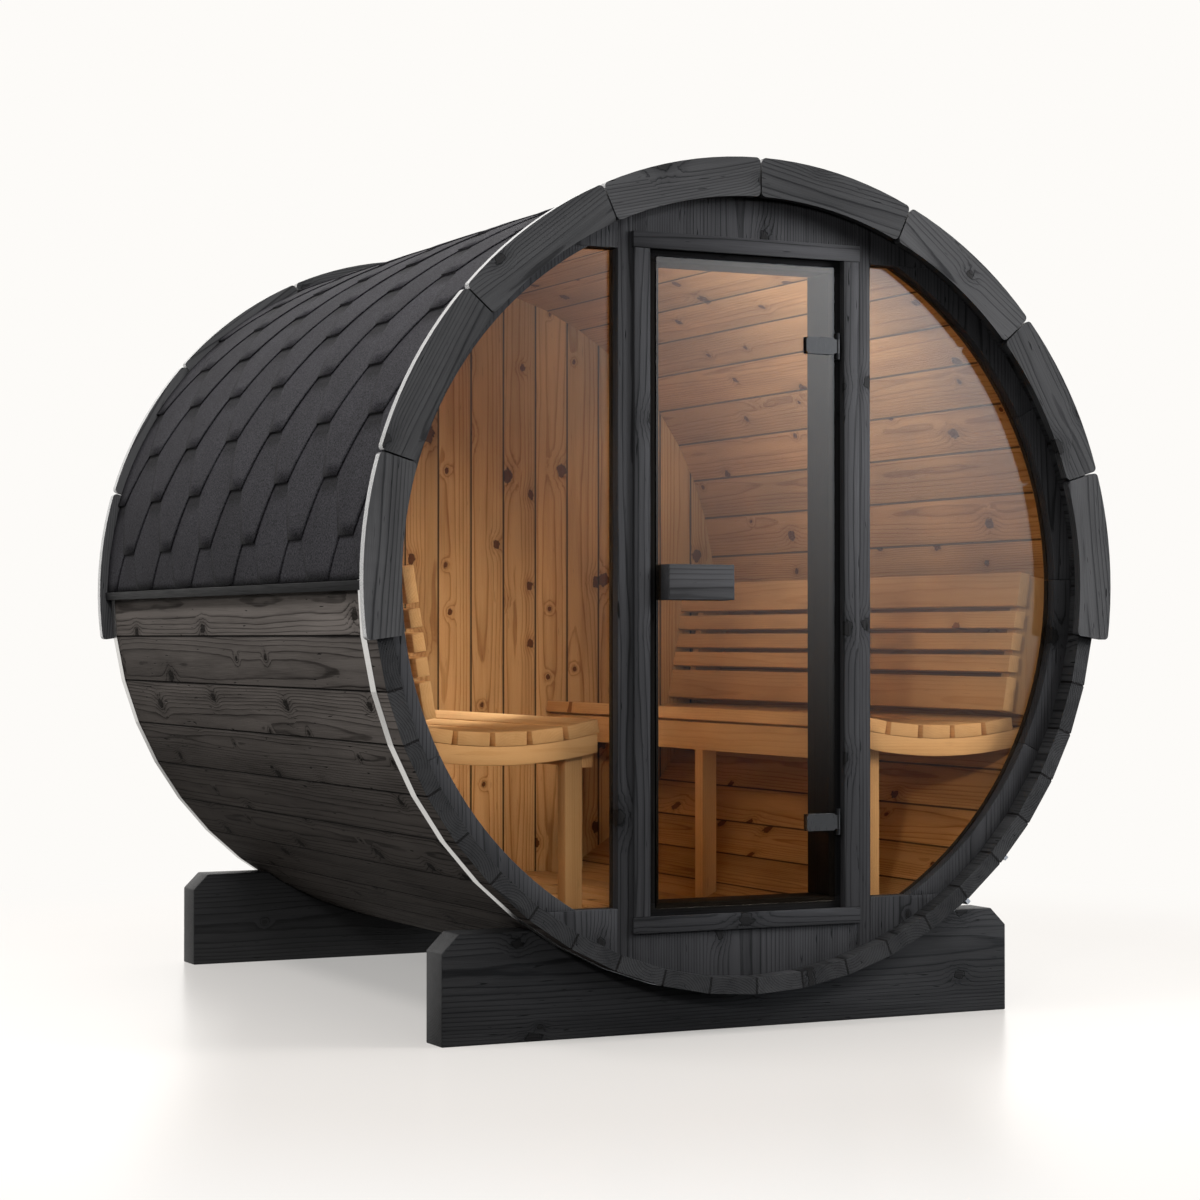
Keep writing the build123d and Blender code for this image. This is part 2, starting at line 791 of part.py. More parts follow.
def all_pieces():
    pane = window_glass()
    pieces = {
        "front_cradle": [cradle(front_cradle_place)],
        "rear_cradle": [cradle(rear_cradle_place)],
        "front_strap": [strap(front_strap_place)],
        "rear_strap": [strap(rear_strap_place)],
        "strap_tensioners": [s for place in strap_places for s in tensioner(place)],
        "eave_battens": eave_battens(),
        "front_edge_boards": edge_boards(-edge_board_thickness),
        "rear_edge_boards": edge_boards(barrel_length),
        "window_glass_right": [pane],
        "window_glass_left": [mirror(pane, about=Plane.YZ)],
        "door_lining": door_lining(),
        "door_trim": door_trim(),
        "door_glass": [door_glass()],
        "door_hinge_covers": at_both_hinges(hinge_cover()),
        "door_hinge_backplates": at_both_hinges(hinge_backplate()),
        "hinge_jamb_leaves": at_both_hinges(hinge_leaf()),
        "rear_wall_boards": rear_wall_boards(),
        "floor_boards": floor_boards(),
        "floor_bearers": floor_bearers(),
    }
    for group in (stave_groups(), roof(), front_wall(), door_handles(), benches()):
        pieces.update(group)
    return pieces


def main():
    os.makedirs("parts", exist_ok=True)
    to_ground = Pos(0, -barrel_length / 2, axis_height)
    for name, shapes in all_pieces().items():
        solids = [solid for shape in shapes for solid in shape.solids()]
        placed = [to_ground * solid for solid in solids]
        whole = placed[0] if len(placed) == 1 else Compound(children=placed)
        export_step(whole, f"parts/{name}.step")
    hinge_place = (hinge_axis_x, hinge_axis_y - barrel_length / 2, axis_height)
    print("hinge axis of the door", [round(v, 3) for v in hinge_place])


main()
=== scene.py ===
import json
import math
import random

import bmesh
import bpy
import numpy as np
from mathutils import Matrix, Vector


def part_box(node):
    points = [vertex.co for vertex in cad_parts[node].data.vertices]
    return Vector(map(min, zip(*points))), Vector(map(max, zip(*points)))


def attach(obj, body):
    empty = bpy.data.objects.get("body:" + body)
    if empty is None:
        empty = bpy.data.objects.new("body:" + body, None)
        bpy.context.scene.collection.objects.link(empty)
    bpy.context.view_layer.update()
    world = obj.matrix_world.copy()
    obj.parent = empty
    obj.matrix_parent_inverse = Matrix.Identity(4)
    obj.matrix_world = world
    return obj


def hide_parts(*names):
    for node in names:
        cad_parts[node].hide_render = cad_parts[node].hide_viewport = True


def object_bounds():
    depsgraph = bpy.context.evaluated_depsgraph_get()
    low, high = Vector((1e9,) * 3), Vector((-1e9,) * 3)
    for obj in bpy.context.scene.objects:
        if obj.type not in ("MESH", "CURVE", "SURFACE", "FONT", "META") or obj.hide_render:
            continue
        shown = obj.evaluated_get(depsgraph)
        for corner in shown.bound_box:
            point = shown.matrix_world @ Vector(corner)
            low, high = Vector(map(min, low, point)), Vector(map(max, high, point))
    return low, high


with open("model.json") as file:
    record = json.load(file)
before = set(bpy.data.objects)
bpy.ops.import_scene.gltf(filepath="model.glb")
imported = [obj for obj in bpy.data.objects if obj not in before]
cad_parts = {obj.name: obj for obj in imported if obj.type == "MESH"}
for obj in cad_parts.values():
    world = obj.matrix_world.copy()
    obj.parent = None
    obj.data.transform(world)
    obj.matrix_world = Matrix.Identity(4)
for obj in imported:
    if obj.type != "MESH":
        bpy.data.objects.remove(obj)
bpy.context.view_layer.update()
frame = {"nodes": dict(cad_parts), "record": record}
print("frame loaded:", len(frame["nodes"]), "pieces")


# Everything is in metres. The barrel lies along Y with its front towards -Y, and these
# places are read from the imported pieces.
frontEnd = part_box("staves_top_right")[0].y
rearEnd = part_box("staves_top_right")[1].y
barrelLength = rearEnd - frontEnd
axisHeight = (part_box("staves_top_right")[1].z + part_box("staves_bottom_right")[0].z) / 2
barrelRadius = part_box("staves_top_right")[1].z - axisHeight
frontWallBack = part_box("front_post_left")[1].y
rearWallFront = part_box("rear_wall_boards")[0].y
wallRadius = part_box("rear_wall_boards")[1].z - axisHeight
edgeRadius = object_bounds()[1].z - axisHeight
slack = 0.002  # a face this near to a border counts as on it


def linear(hexColour):
    parts = [int(hexColour[i : i + 2], 16) / 255 for i in (1, 3, 5)]
    return [
        c / 12.92 if c <= 0.04045 else ((c + 0.055) / 1.055) ** 2.4 for c in parts
    ] + [1.0]


# The same colour with each part of it times a factor
def shaded(hexColour, factor):
    return [c * factor for c in linear(hexColour)[:3]] + [1.0]


# Inputs are given by name or number, or else in their order. With out it gives that
# output in place of the node.
def addNode(tree, kind, inputs=(), out=None, **settings):
    node = tree.nodes.new(kind)
    for name, value in settings.items():
        setattr(node, name, value)
    for key, value in inputs.items() if isinstance(inputs, dict) else enumerate(inputs):
        if isinstance(value, bpy.types.NodeSocket):
            tree.links.new(value, node.inputs[key])
        else:
            node.inputs[key].default_value = value
    return node if out is None else node.outputs[out]


def emptyMaterial(name):
    material = bpy.data.materials.new(name)
    material.use_nodes = True
    material.node_tree.nodes.clear()
    return material, material.node_tree


# Takes a number through steps: each is an operation with its second and third value, or
# "LINEAR" or "SMOOTHSTEP" with the two ends of a range and of the range it turns into
def calculate(tree, value, *steps):
    for operation, *others in steps:
        kind, setting = "ShaderNodeMath", "operation"
        if operation in ("LINEAR", "SMOOTHSTEP"):
            kind, setting = "ShaderNodeMapRange", "interpolation_type"
        value = addNode(tree, kind, (value, *others), 0, **{setting: operation})
    return value


# Wood: one log in three dimensions, seen wherever a board is cut from it. Each board
# carries its own place in the log as the attribute "boardPlace" (x along the grain) and
# its own shade as "boardShade".
woodPattern = {
    "ringWidth": 0.0068,  # pine rings are 2 to 5 mm; drawn coarser so that they show
    "wander": 0.030,  # how far the rings wander along a board
    "ripple": 0.0045,  # and in small waves
    "knotEvery": (0.30, 0.15),  # along and across the grain
    "knotSize": (0.005, 0.016),
    "knotUneven": 1.7,  # no knot is a true circle
    "knotBulge": 0.014,  # how far the rings bend round a knot
    "knotDepth": 0.9,  # how much of the knot's own colour shows
    "rimDepth": 0.85,  # and of the bark round it
    "haloDepth": 0.45,  # how much darker the wood is near a knot
    "fibreWidth": 0.0022,
    "fibreSpan": (-0.12, 0.12),  # what the fibres add to the darkness of the rings
    "streakSpan": (-0.18, 0.30),
    "blotchSpan": (0.84, 1.16),  # the cloudy light and dark along a board
    "reliefDepth": 0.0012,
}
# How dark the wood is across one ring, from spring to spring
ringCurve = ((0.0, 0.22), (0.10, 0.02), (0.58, 0.10), (0.80, 0.42), (0.92, 1.0), (1.0, 0.22))


def woodLayers(tree, knotShare):
    place = addNode(tree, "ShaderNodeAttribute", out="Vector", attribute_name="boardPlace")
    shade = addNode(tree, "ShaderNodeAttribute", out="Fac", attribute_name="boardShade")

    # cloudy noise, with so many changes to the metre along and across the grain
    def noise(along, across, detail):
        pair = (place, (along, across, across))
        spot = addNode(tree, "ShaderNodeVectorMath", pair, 0, operation="MULTIPLY")
        inputs = {"Vector": spot, "Scale": 1.0, "Detail": detail}
        return addNode(tree, "ShaderNodeTexNoise", inputs, "Fac")

    # knots: points scattered over the face of the board, which run through it
    along, across = woodPattern["knotEvery"]
    pair = (place, (1 / along, 1 / across, 0.0))
    cells = addNode(tree, "ShaderNodeVectorMath", pair, 0, operation="MULTIPLY")
    points = addNode(
        tree,
        "ShaderNodeTexVoronoi",
        {"Vector": cells, "Scale": 1.0, "Randomness": 0.9},
        voronoi_dimensions="2D",
    )
    pair = (cells, points.outputs["Position"])
    away = addNode(tree, "ShaderNodeVectorMath", pair, 0, operation="SUBTRACT")
    # a knot is drawn out a little along the grain
    pair = (away, (along * 0.75, across, 0.0))
    away = addNode(tree, "ShaderNodeVectorMath", pair, 0, operation="MULTIPLY")
    knotDistance = addNode(tree, "ShaderNodeVectorMath", (away,), "Value", operation="LENGTH")
    dice = addNode(tree, "ShaderNodeSeparateColor", {0: points.outputs["Color"]}).outputs
    isKnot = calculate(tree, dice[0], ("LESS_THAN", knotShare))
    small, large = woodPattern["knotSize"]
    knotRadius = calculate(tree, dice[1], ("LINEAR", 0.0, 1.0, small, large))
    uneven = calculate(
        tree, noise(70.0, 70.0, 2.0), ("SUBTRACT", 0.5), ("MULTIPLY", woodPattern["knotUneven"])
    )
    nearness = calculate(
        tree, knotDistance, ("DIVIDE", knotRadius), ("ADD", uneven), ("MAXIMUM", 0.0)
    )
    knot = calculate(tree, nearness, ("SMOOTHSTEP", 1.12, 0.86), ("MULTIPLY", isKnot))
    fromRim = calculate(tree, nearness, ("SUBTRACT", 1.05), ("ABSOLUTE",))
    rim = calculate(tree, fromRim, ("SMOOTHSTEP", 0.22, 0.0), ("MULTIPLY", isKnot))
    bulge = calculate(
        tree,
        nearness,
        ("MULTIPLY", nearness),
        ("MULTIPLY", -0.16),
        ("EXPONENT",),
        ("MULTIPLY", isKnot),
        ("MULTIPLY", woodPattern["knotBulge"]),
    )

    # rings: distance from the heart of the log, bent by slow noise and round the knots
    flat = addNode(tree, "ShaderNodeVectorMath", (place, (0, 1, 1)), 0, operation="MULTIPLY")
    heart = addNode(tree, "ShaderNodeVectorMath", (flat,), "Value", operation="LENGTH")
    wander = calculate(
        tree, noise(0.75, 4.0, 1.0), ("SUBTRACT", 0.5), ("MULTIPLY", woodPattern["wander"])
    )
    ripple = calculate(
        tree, noise(4.0, 26.0, 2.0), ("SUBTRACT", 0.5), ("MULTIPLY", woodPattern["ripple"])
    )
    ringPlace = calculate(
        tree,
        heart,
        ("ADD", wander),
        ("ADD", ripple),
        ("ADD", bulge),
        ("DIVIDE", woodPattern["ringWidth"]),
    )
    ring = calculate(tree, ringPlace, ("FRACT",))
    lateWood = addNode(tree, "ShaderNodeFloatCurve", {"Value": ring})
    curve = lateWood.mapping.curves[0]
    curve.points[0].location = ringCurve[0]
    curve.points[1].location = ringCurve[-1]
    for spot in ringCurve[1:-1]:
        curve.points.new(*spot)
    return {
        "shade": shade,
        "lateWood": lateWood.outputs[0],
        "fibre": noise(9.0, 1 / woodPattern["fibreWidth"], 2.0),
        "streak": noise(1.6, 34.0, 2.0),
        "fleck": calculate(tree, noise(17.0, 120.0, 1.0), ("SMOOTHSTEP", 0.7, 0.78)),
        "blotch": noise(2.2, 5.0, 2.0),
        "knot": knot,
        "rim": rim,
        "halo": calculate(tree, bulge, ("DIVIDE", woodPattern["knotBulge"])),
    }


def woodColour(tree, layers, finish):
    early, late, knot, bark = (linear(finish[key]) for key in ("early", "late", "knot", "bark"))
    grain = calculate(
        tree,
        layers["lateWood"],
        ("MULTIPLY", finish["ringContrast"]),
        (
            "ADD",
            calculate(tree, layers["streak"], ("LINEAR", 0.3, 0.7, *woodPattern["streakSpan"])),
        ),
        (
            "ADD",
            calculate(tree, layers["fibre"], ("LINEAR", 0.3, 0.7, *woodPattern["fibreSpan"])),
        ),
        ("ADD", calculate(tree, layers["halo"], ("MULTIPLY", woodPattern["haloDepth"]))),
    )
    colour = addNode(tree, "ShaderNodeMix", {0: grain, 6: early, 7: late}, 2, data_type="RGBA")
    inKnot = calculate(tree, layers["knot"], ("MULTIPLY", woodPattern["knotDepth"]))
    colour = addNode(tree, "ShaderNodeMix", {0: inKnot, 6: colour, 7: knot}, 2, data_type="RGBA")
    dark = calculate(
        tree,
        layers["fleck"],
        ("MULTIPLY", finish["flecks"]),
        ("MAXIMUM", calculate(tree, layers["rim"], ("MULTIPLY", woodPattern["rimDepth"]))),
    )
    colour = addNode(tree, "ShaderNodeMix", {0: dark, 6: colour, 7: bark}, 2, data_type="RGBA")
    spread = finish["boardSpread"]
    light = calculate(
        tree,
        layers["shade"],
        ("LINEAR", 0.0, 1.0, 1 - spread, 1 + spread),
        (
            "MULTIPLY",
            calculate(tree, layers["blotch"], ("LINEAR", 0.25, 0.75, *woodPattern["blotchSpan"])),
        ),
    )
    return addNode(tree, "ShaderNodeVectorMath", {0: colour, 3: light}, 0, operation="SCALE")


# Charcoal stain on planed pine: the rings and knots show through it a little darker, and
# it leaves a satin skin that greys where light grazes it
charcoalStain = {
    "early": "#333334",
    "late": "#171718",
    "knot": "#1b1a1a",
    "bark": "#050505",
    "ringContrast": 0.8,
    "flecks": 0.9,
    "boardSpread": 0.18,
    "roughness": (0.50, 0.66),
    "shine": 0.2,
    "relief": 0.7,
}
# The same stain on the front wall and the door's trims, a little lighter: painted light on the
# front that stands back under the edge boards
paintedLightWallStain = {**charcoalStain, "early": "#373739", "late": "#1a1a1b"}
# The same stain in two thick coats on the lining of the doorway and the eave battens:
# near black
blackStain = {
    **charcoalStain,
    "early": "#1b1b1c",
    "late": "#111112",
    "knot": "#0e0e0e",
    "shine": 0.06,
    "relief": 0.4,
}
# Glossier on the outer rim of the edge boards, so that it mirrors the sky at a slant, and painted
# lighter there as a painted highlight along the rim
glossyPaintedHighlightRim = {
    **charcoalStain,
    # painted highlight: lighter than the charcoal stain
    "early": "#4a4a4c",
    "late": "#38383a",
    "roughness": (0.20, 0.30),
    "shine": 0.9,
    "relief": 0.2,
}
# One thin coat on the handle blocks, which are planed finer
handleStain = {**charcoalStain, "early": "#444446", "late": "#29292a", "relief": 0.4}
# The same stain on the barrel's own staves, rubbed thinner: the brown of the wood shows
thinStain = {
    **charcoalStain,
    "early": "#69635f",
    "late": "#2b2725",
    "knot": "#1d1a18",
    "bark": "#080706",
    "ringContrast": 0.7,
}
# Bare heat-treated pine: warm brown, with darker rings and resinous knots
heatTreatedPine = {
    "early": "#c6a274",
    "late": "#91673a",
    "knot": "#54290f",
    "bark": "#241007",
    "ringContrast": 0.62,
    "flecks": 0.25,
    "boardSpread": 0.13,
    "roughness": (0.42, 0.58),
    "shine": 0.4,
    "relief": 0.30,
}
# Bare planed alder: pale warm boards, nearly without knots, on the benches and backrests
planedAlder = {
    "early": "#e6c69a",
    "late": "#cfa978",
    "knot": "#8a5228",
    "bark": "#5d3214",
    "ringContrast": 0.45,
    "flecks": 0.15,
    "boardSpread": 0.06,
    "roughness": (0.40, 0.54),
    "shine": 0.4,
    "relief": 0.18,
}


# Where a point is: across the barrel, along it, up from its axis and out from its axis
def barrelPlace(tree):
    x, y, z = addNode(
        tree, "ShaderNodeSeparateXYZ", {0: addNode(tree, "ShaderNodeTexCoord", out="Object")}
    ).outputs
    up = calculate(tree, z, ("SUBTRACT", axisHeight))
    out = calculate(
        tree, x, ("MULTIPLY", x), ("ADD", calculate(tree, up, ("MULTIPLY", up))), ("SQRT",)
    )
    return x, y, up, out


# 1 on the faces that look into the room, 0 elsewhere
def insideRoom(tree, y, out):
    return calculate(
        tree,
        out,
        ("LESS_THAN", wallRadius),
        ("MULTIPLY", calculate(tree, y, ("GREATER_THAN", frontWallBack - slack))),
        ("MULTIPLY", calculate(tree, y, ("LESS_THAN", rearWallFront + slack))),
    )


# 1 on the weathered round of the barrel, 0 on its front end and inside
def outerRound(tree, y, out):
    return calculate(
        tree,
        out,
        ("GREATER_THAN", barrelRadius - 2 * slack),
        ("MULTIPLY", calculate(tree, y, ("GREATER_THAN", frontEnd + slack))),
    )


boardJoints = {
    "staveCount": 48,
    "rearBoard": 0.115,
    "lineWidth": (0.0016, 0.0046),  # black in the joint, clear of it beyond
    "lineColour": "#0b0807",
    "lineDepth": 0.88,
}
weatheredShare = 0.85  # how much of its skin the outside of the barrel has lost


# Dark lines where neighbouring boards meet: 1 in the joint
def jointLine(tree, kind, x, up, out):
    if kind == "staves":
        across = calculate(
            tree,
            up,
            ("ARCTAN2", x),
            ("MULTIPLY", boardJoints["staveCount"] / math.tau),
            ("PINGPONG", 0.5),
            ("MULTIPLY", out),
            ("MULTIPLY", math.tau / boardJoints["staveCount"]),
        )
    else:
        width = boardJoints["rearBoard"]
        across = calculate(tree, x, ("DIVIDE", width), ("PINGPONG", 0.5), ("MULTIPLY", width))
    return calculate(tree, across, ("SMOOTHSTEP", *boardJoints["lineWidth"], 1.0, 0.0))


# finish is what a piece has all over, roomFinish what it has towards the room and
# roundFinish what it has on the outside of the barrel
def makeWood(name, finish, knotShare, roomFinish=None, roundFinish=None, joints=None):
    material, tree = emptyMaterial(name)
    layers = woodLayers(tree, knotShare)
    x, y, up, out = barrelPlace(tree)
    colour = woodColour(tree, layers, finish)
    roughness = calculate(tree, layers["fibre"], ("LINEAR", 0.3, 0.7, *finish["roughness"]))
    if roundFinish:
        outer = outerRound(tree, y, out)
        inputs = {0: outer, 6: colour, 7: woodColour(tree, layers, roundFinish)}
        colour = addNode(tree, "ShaderNodeMix", inputs, 2, data_type="RGBA")
    if roomFinish:
        room = insideRoom(tree, y, out)
        inputs = {0: room, 6: colour, 7: woodColour(tree, layers, roomFinish)}
        colour = addNode(tree, "ShaderNodeMix", inputs, 2, data_type="RGBA")
    height = calculate(
        tree,
        layers["lateWood"],
        ("MULTIPLY", 0.5),
        ("ADD", calculate(tree, layers["fibre"], ("MULTIPLY", 0.6))),
        ("SUBTRACT", calculate(tree, layers["rim"], ("MULTIPLY", 0.8))),
        ("SUBTRACT", layers["fleck"]),
    )
    if joints:
        line = jointLine(tree, joints, x, up, out)
        depth = calculate(tree, line, ("MULTIPLY", boardJoints["lineDepth"]))
        inputs = {0: depth, 6: colour, 7: linear(boardJoints["lineColour"])}
        colour = addNode(tree, "ShaderNodeMix", inputs, 2, data_type="RGBA")
    bump = addNode(
        tree,
        "ShaderNodeBump",
        {"Height": height, "Strength": finish["relief"], "Distance": woodPattern["reliefDepth"]},
        0,
    )
    shader = addNode(
        tree,
        "ShaderNodeBsdfPrincipled",
        {
            "Base Color": colour,
            "Roughness": roughness,
            "Normal": bump,
            "IOR": 1.5,
            "Specular IOR Level": finish["shine"],
        },
        0,
    )
    if roundFinish:
        matt = addNode(tree, "ShaderNodeBsdfDiffuse", {"Color": colour, "Normal": bump})
        share = calculate(tree, outer, ("MULTIPLY", weatheredShare))
        shader = addNode(tree, "ShaderNodeMixShader", (share, shader, matt.outputs[0]), 0)
    addNode(tree, "ShaderNodeOutputMaterial", {"Surface": shader})
    return material


shellWood = makeWood(
    "stainedShellPine", charcoalStain, 0.6, heatTreatedPine, thinStain, "staves"
)
wallWood = makeWood("stainedWallPine", paintedLightWallStain, 0.5, heatTreatedPine)
rearWallWood = makeWood(
    "stainedRearWallPine", charcoalStain, 0.75, heatTreatedPine, None, "rear boards"
)
stainedWood = makeWood("charcoalStainedPine", charcoalStain, 0.5)
trimWood = makeWood("stainedTrimPine", paintedLightWallStain, 0.4)
highlightRimWood = makeWood("polishedRimPine", glossyPaintedHighlightRim, 0.5)
liningWood = makeWood("blackStainedPine", blackStain, 0.3)
handleWood = makeWood("handlePine", handleStain, 0.0)
roomWood = makeWood("heatTreatedPine", heatTreatedPine, 0.7)
benchWood = makeWood("planedAlder", planedAlder, 0.10)
print("wood made")


# Boards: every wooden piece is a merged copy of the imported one, with its arrises taken
# off and each board given its own place in the log. Edges under the shortest length stay
# sharp.
boardRules = {
    "staves": {"grain": "Y", "arris": 0.0012, "shortest": 0.02},
    "edge_boards": {"grain": "round", "arris": 0.003, "corner": 0.006},
    "window_arch": {"grain": "Z", "arris": 0.0015},
    "front_wall": {"grain": "Z", "arris": 0.001},
    "cradle": {"grain": "X", "arris": 0.003},
    "other": {"grain": "long", "arris": 0.0015},
}
boardWork = {
    "weld": 1e-5,
    "flatWithin": 0.3,  # degrees: faces this near to one plane become one
    "cornerOver": 25,  # degrees: edges sharper than this get the large rounding
    "arrisOver": 35,
    "smoothUnder": 30,
    "rimReach": 0.012,  # how deep the glossy rim of an edge board, with its painted highlight, reaches
    "logLength": 40,  # a board is cut from anywhere in this much of the log, both ways
    "offHeart": 0.05,  # sideways from the middle of the log
    "heartGap": (0.03, 0.11),  # from the heart of the log
}


def grainDirection(rule, points):
    if rule == "round":
        middle = points.mean(axis=0)
        angle = math.atan2(middle[2] - axisHeight, middle[0])
        return np.array((-math.sin(angle), 0.0, math.cos(angle)))
    if rule == "long":
        rule = "XYZ"[int(np.argmax(points.max(axis=0) - points.min(axis=0)))]
    return np.array([float(letter == rule) for letter in "XYZ"])


def boardIslands(bm):
    bm.verts.ensure_lookup_table()
    seen = set()
    for start in bm.verts:
        if start.index in seen:
            continue
        seen.add(start.index)
        island, waiting = [], [start]
        while waiting:
            vert = waiting.pop()
            island.append(vert.index)
            for edge in vert.link_edges:
                other = edge.other_vert(vert)
                if other.index not in seen:
                    seen.add(other.index)
                    waiting.append(other)
        yield island


def isSharp(edge, degrees):
    return len(edge.link_faces) == 2 and edge.calc_face_angle(0.0) > math.radians(degrees)


def bevelEdges(bm, edges, offset, segments):
    bmesh.ops.bevel(
        bm,
        geom=edges,
        offset=offset,
        offset_type="OFFSET",
        segments=segments,
        profile=0.5,
        affect="EDGES",
        clamp_overlap=True,
    )


# The corners of a board that run along the barrel
def roundCorners(bm, radius):
    corners = [
        edge
        for edge in bm.edges
        if abs((edge.verts[1].co - edge.verts[0].co).normalized().y) > 0.99
        and isSharp(edge, boardWork["cornerOver"])
    ]
    bevelEdges(bm, corners, radius, 3)


def mergedCopy(nodeName, arris, shortest, corner):
    bm = bmesh.new()
    bm.from_mesh(frame["nodes"][nodeName].data)
    bmesh.ops.remove_doubles(bm, verts=bm.verts, dist=boardWork["weld"])
    flat = math.radians(boardWork["flatWithin"])
    bmesh.ops.dissolve_limit(bm, angle_limit=flat, verts=bm.verts, edges=bm.edges)
    if corner:
        roundCorners(bm, corner)
    sharp = [
        edge
        for edge in bm.edges
        if isSharp(edge, boardWork["arrisOver"]) and edge.calc_length() > shortest
    ]
    bevelEdges(bm, sharp, arris, 2)
    bmesh.ops.triangulate(bm, faces=[f for f in bm.faces if len(f.verts) > 4])
    bm.verts.index_update()
    return bm


# The rim of an edge board: faces on its outside that look away from the axis
def giveRim(mesh):
    mesh.materials.append(highlightRimWood)
    for face in mesh.polygons:
        # these faces take the glossy rim finish with its painted highlight
        out = math.hypot(face.center.x, face.center.z - axisHeight)
        if out > edgeRadius - boardWork["rimReach"] and abs(face.normal.y) < 0.6:
            face.material_index = 1


def newPiece(name, mesh, materials, body, slotName, replaced):
    for material in materials:
        mesh.materials.append(material)
    mesh.shade_smooth()
    mesh.set_sharp_from_angle(angle=math.radians(boardWork["smoothUnder"]))
    piece = bpy.data.objects.new(name, mesh)
    bpy.context.scene.collection.objects.link(piece)
    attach(piece, body)
    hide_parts(*replaced)
    return piece


def camelName(nodeName):
    first, *rest = nodeName.split("_")
    return first + "".join(word.capitalize() for word in rest)


slotOf = {part["node"]: part["material_slot"] for part in frame["record"]["subparts"]}


def dressBoards(nodeName, material, body="sauna"):
    rule = next(
        (rule for key, rule in boardRules.items() if key in nodeName),
        boardRules["other"],
    )
    shortest, corner = rule.get("shortest", 0.0), rule.get("corner", 0.0)
    bm = mergedCopy(nodeName, rule["arris"], shortest, corner)
    points = np.array([vert.co[:] for vert in bm.verts])
    place = np.zeros_like(points)
    shade = np.zeros(len(points))
    dice = random.Random(nodeName)
    far, off, gap = boardWork["logLength"], boardWork["offHeart"], boardWork["heartGap"]
    for island in boardIslands(bm):
        board = points[island]
        centred = board - (board.min(axis=0) + board.max(axis=0)) / 2
        grain = grainDirection(rule["grain"], board)
        flat = centred - np.outer(centred @ grain, grain)
        wide = np.linalg.svd(flat, full_matrices=False)[2][0]
        thick = np.cross(grain, wide)
        local = np.stack([centred @ grain, centred @ wide, centred @ thick], axis=1)
        local += (
            dice.uniform(-far, far),
            dice.uniform(-off, off),
            dice.choice((-1, 1)) * dice.uniform(*gap),
        )
        place[island] = local
        shade[island] = dice.random()
    mesh = bpy.data.meshes.new(camelName(nodeName))
    bm.to_mesh(mesh)
    bm.free()
    attribute = mesh.attributes.new("boardPlace", "FLOAT_VECTOR", "POINT")
    attribute.data.foreach_set("vector", place.astype(np.float32).ravel())
    attribute = mesh.attributes.new("boardShade", "FLOAT", "POINT")
    attribute.data.foreach_set("value", shade.astype(np.float32))
    newPiece(camelName(nodeName), mesh, [material], body, slotOf[nodeName], [nodeName])
    if "edge_boards" in nodeName:
        giveRim(mesh)


woodOf = {
    "staves_": shellWood,
    "front_wall": wallWood,
    "front_post": wallWood,
    "front_window": wallWood,
    "rear_wall": rearWallWood,
    "floor_": roomWood,
    "bench_": benchWood,
    "backrest_": benchWood,
    "edge_boards": stainedWood,
    "cradle": stainedWood,
    "eave_battens": liningWood,
    "door_lining": liningWood,
    "door_trim": trimWood,
    "door_handle": handleWood,
}
for nodeName in sorted(frame["nodes"]):
    found = [wood for key, wood in woodOf.items() if key in nodeName]
    if found:
        dressBoards(nodeName, found[0], "door" if "handle" in nodeName else "sauna")
print("boards dressed")


# Metal and glass
metalLook = {
    "cloudScale": 9.0,
    "cloudShade": 0.86,  # how much darker the clouded parts are
    "roughnessSpan": (0.8, 1.25),  # across the brush marks, as a share of the roughness
    "markDepth": 0.0002,
}


def makeMetal(name, colour, roughness, brushScale, relief):
    material, tree = emptyMaterial(name)
    place = addNode(tree, "ShaderNodeTexCoord", out="Object")
    drawn = addNode(tree, "ShaderNodeVectorMath", (place, brushScale), 0, operation="MULTIPLY")
    inputs = {"Vector": drawn, "Scale": 1.0, "Detail": 3.0}
    brush = addNode(tree, "ShaderNodeTexNoise", inputs, "Fac")
    inputs = {"Vector": place, "Scale": metalLook["cloudScale"], "Detail": 2.0}
    cloud = addNode(tree, "ShaderNodeTexNoise", inputs, "Fac")
    inputs = {0: cloud, 6: linear(colour), 7: shaded(colour, metalLook["cloudShade"])}
    tone = addNode(tree, "ShaderNodeMix", inputs, 2, data_type="RGBA")
    inputs = {"Height": brush, "Strength": relief, "Distance": metalLook["markDepth"]}
    marks = addNode(tree, "ShaderNodeBump", inputs, 0)
    smooth, rough = (roughness * share for share in metalLook["roughnessSpan"])
    shader = addNode(
        tree,
        "ShaderNodeBsdfPrincipled",
        {
            "Base Color": tone,
            "Metallic": 1.0,
            "Roughness": calculate(tree, brush, ("LINEAR", 0.2, 0.8, smooth, rough)),
            "Normal": marks,
        },
        0,
    )
    addNode(tree, "ShaderNodeOutputMaterial", {"Surface": shader})
    return material


# Stainless band, rolled and lightly brushed: a bright even grey that takes the room's white
stainlessBand = makeMetal("brushedStainlessBand", "#d9d8d6", 0.30, (90, 700, 90), 0.10)
# Zinc plated rod and nuts: bluer, duller and a little cloudy
zincPlated = makeMetal("zincPlatedSteel", "#c9cacc", 0.34, (300, 300, 300), 0.15)
# Satin nickel hinge covers: dark warm grey with a soft sheen
satinNickel = makeMetal("satinNickelSteel", "#595857", 0.30, (700, 60, 60), 0.10)


# Powder coated steel: black with a fine orange-peel
powderLook = {
    "colour": "#0f0f10",
    "roughness": (0.36, 0.48),
    "grainSize": 0.003,
    "grainShade": 1.5,  # painted highlight: how much lighter the tops of the grain are painted
    "relief": 0.2,
    "grainDepth": 0.0003,
}


